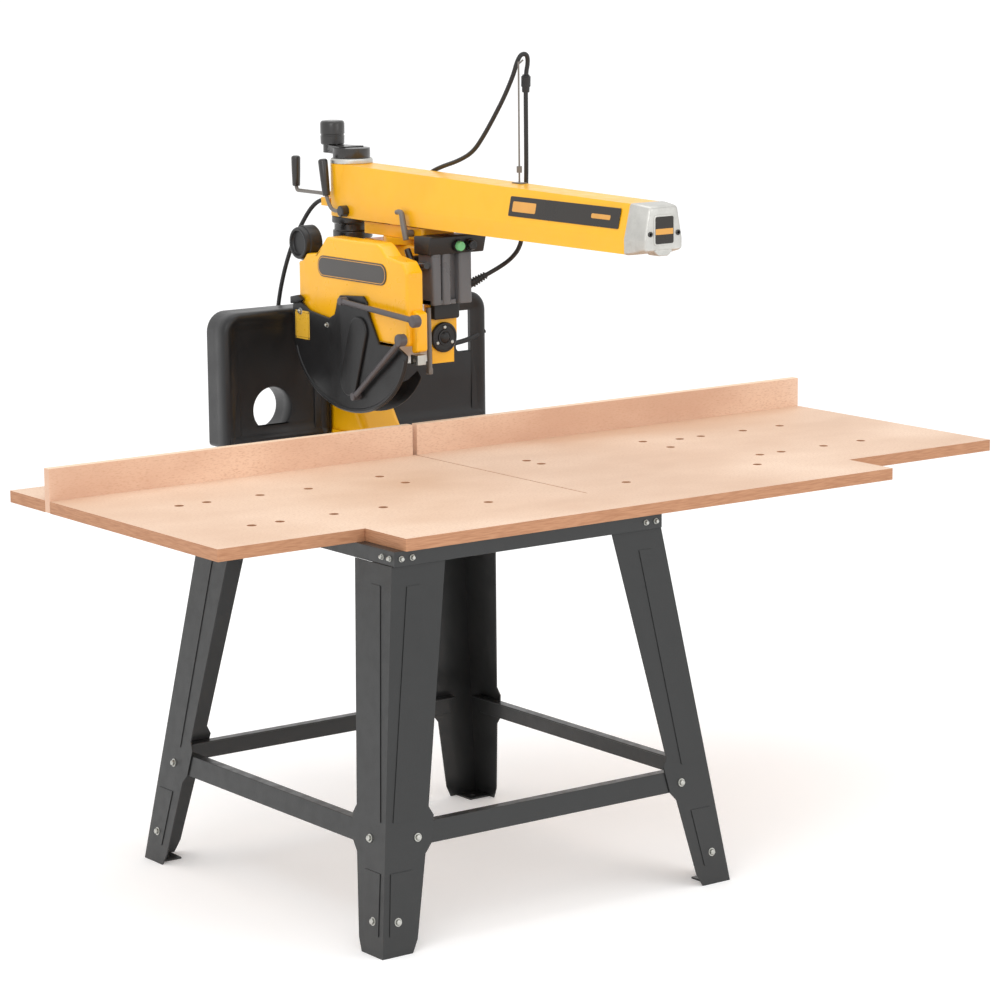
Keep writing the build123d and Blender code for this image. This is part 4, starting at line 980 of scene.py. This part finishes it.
# ---- Finishes and edge rounding of the kept nodes -----------------------------------------------------
def dress_nodes():
    """Gives each CAD node its slot's finish and an edge radius in millimetres."""
    slots = {sub["node"]: sub["material_slot"] for sub in frame["record"]["subparts"]}
    edges = {"leg": 1.2, "brace": 1.2, "base_frame": 1.0, "table": 1.4, "fence": 1.6, "column": 3.0,
             "arm_casting": 5.0, "arm_top_cap": 2.0, "yoke": 4.0, "carriage": 3.0, "motor_body": 3.0,
             "supply_box": 4.0, "cable_mast": 0.3, "guard_bracket": 1.0, "elevation": 1.5, "track": 1.0,
             "roller": 1.0}
    for name, obj in NODES.items():
        finish = FENCE_BOARD if name.startswith("fence") else MATERIALS[slots[name]]
        for entry in obj.material_slots:
            entry.material = finish
        width = next((w for start, w in edges.items() if name.startswith(start)), 0.6)
        soften(name, width, 3 if width > 1 else 2)


# ---- Stage and camera ---------------------------------------------------------------------------------
def area_light(name, at, target, size, power):
    data = bpy.data.lights.new(name, "AREA")
    data.shape = "RECTANGLE"
    data.size, data.size_y = size
    data.energy = power
    obj = bpy.data.objects.new(name, data)
    obj.location = at
    obj.rotation_euler = (Vector(target) - Vector(at)).to_track_quat("-Z", "Y").to_euler()
    bpy.context.scene.collection.objects.link(obj)


def stage():
    """A white world, a pale floor that glows a little, and three soft lights."""
    world = bpy.data.worlds.new("studio")
    bpy.context.scene.world = world
    world.use_nodes = True
    world.node_tree.nodes["Background"].inputs["Color"].default_value = (1, 1, 1, 1)
    world.node_tree.nodes["Background"].inputs["Strength"].default_value = 1.0
    bm = bmesh.new()
    far = 300.0
    bm.faces.new(loop(bm, ((-far, -far, 0), (far, -far, 0), (far, far, 0), (-far, far, 0))))
    mesh = bpy.data.meshes.new("floor")
    bm.to_mesh(mesh)
    bm.free()
    floor = bpy.data.objects.new("floor", mesh)
    bpy.context.scene.collection.objects.link(floor)
    pale = Finish("pale_floor", (0.94, 0.94, 0.94, 1), 0.8, specular=0.1)
    pale.shader.inputs["Emission Color"].default_value = (1, 1, 1, 1)
    pale.shader.inputs["Emission Strength"].default_value = 0.16
    mesh.materials.append(pale.material)
    area_light("key", (-3.2, -2.6, 3.6), (0.3, 0.2, 0.9), (2.6, 2.6), 45)
    area_light("front", (1.8, -4.6, 2.6), (0.3, 0.2, 0.9), (3.0, 2.0), 25)
    area_light("top", (0.6, 0.6, 4.2), (0.3, 0.4, 0.8), (3.4, 2.6), 30)
    bpy.context.scene.view_settings.view_transform = "Standard"


def camera():
    """A long lens from the front left, a little above the arm."""
    yaw, pitch, roll = (math.radians(a) for a in (36.254, -10.232, -0.526))
    data = bpy.data.cameras.new("camera")
    data.sensor_width = 36.0
    data.lens = 122.87
    data.shift_x, data.shift_y = 0.0026, -0.0022
    data.clip_end = 200.0
    obj = bpy.data.objects.new("camera", data)
    turn = Matrix.Rotation(-yaw, 4, "Z") @ Matrix.Rotation(math.pi / 2 + pitch, 4, "X")
    turn = turn @ Matrix.Rotation(roll, 4, "Z")
    obj.matrix_world = Matrix.Translation((-3.9932, -5.6862, 2.0470)) @ turn
    bpy.context.scene.collection.objects.link(obj)
    bpy.context.scene.camera = obj


dress_nodes()
stand_bolts()
hood()
upper_guard()
lower_guard()
guard_links()
spout()
end_cap()
arm_labels()
crank()
rear_handles()
head_levers()
switch_box()
grip()
strain_relief()
buttons()
bevel_dial()
cables()
stage()
camera()
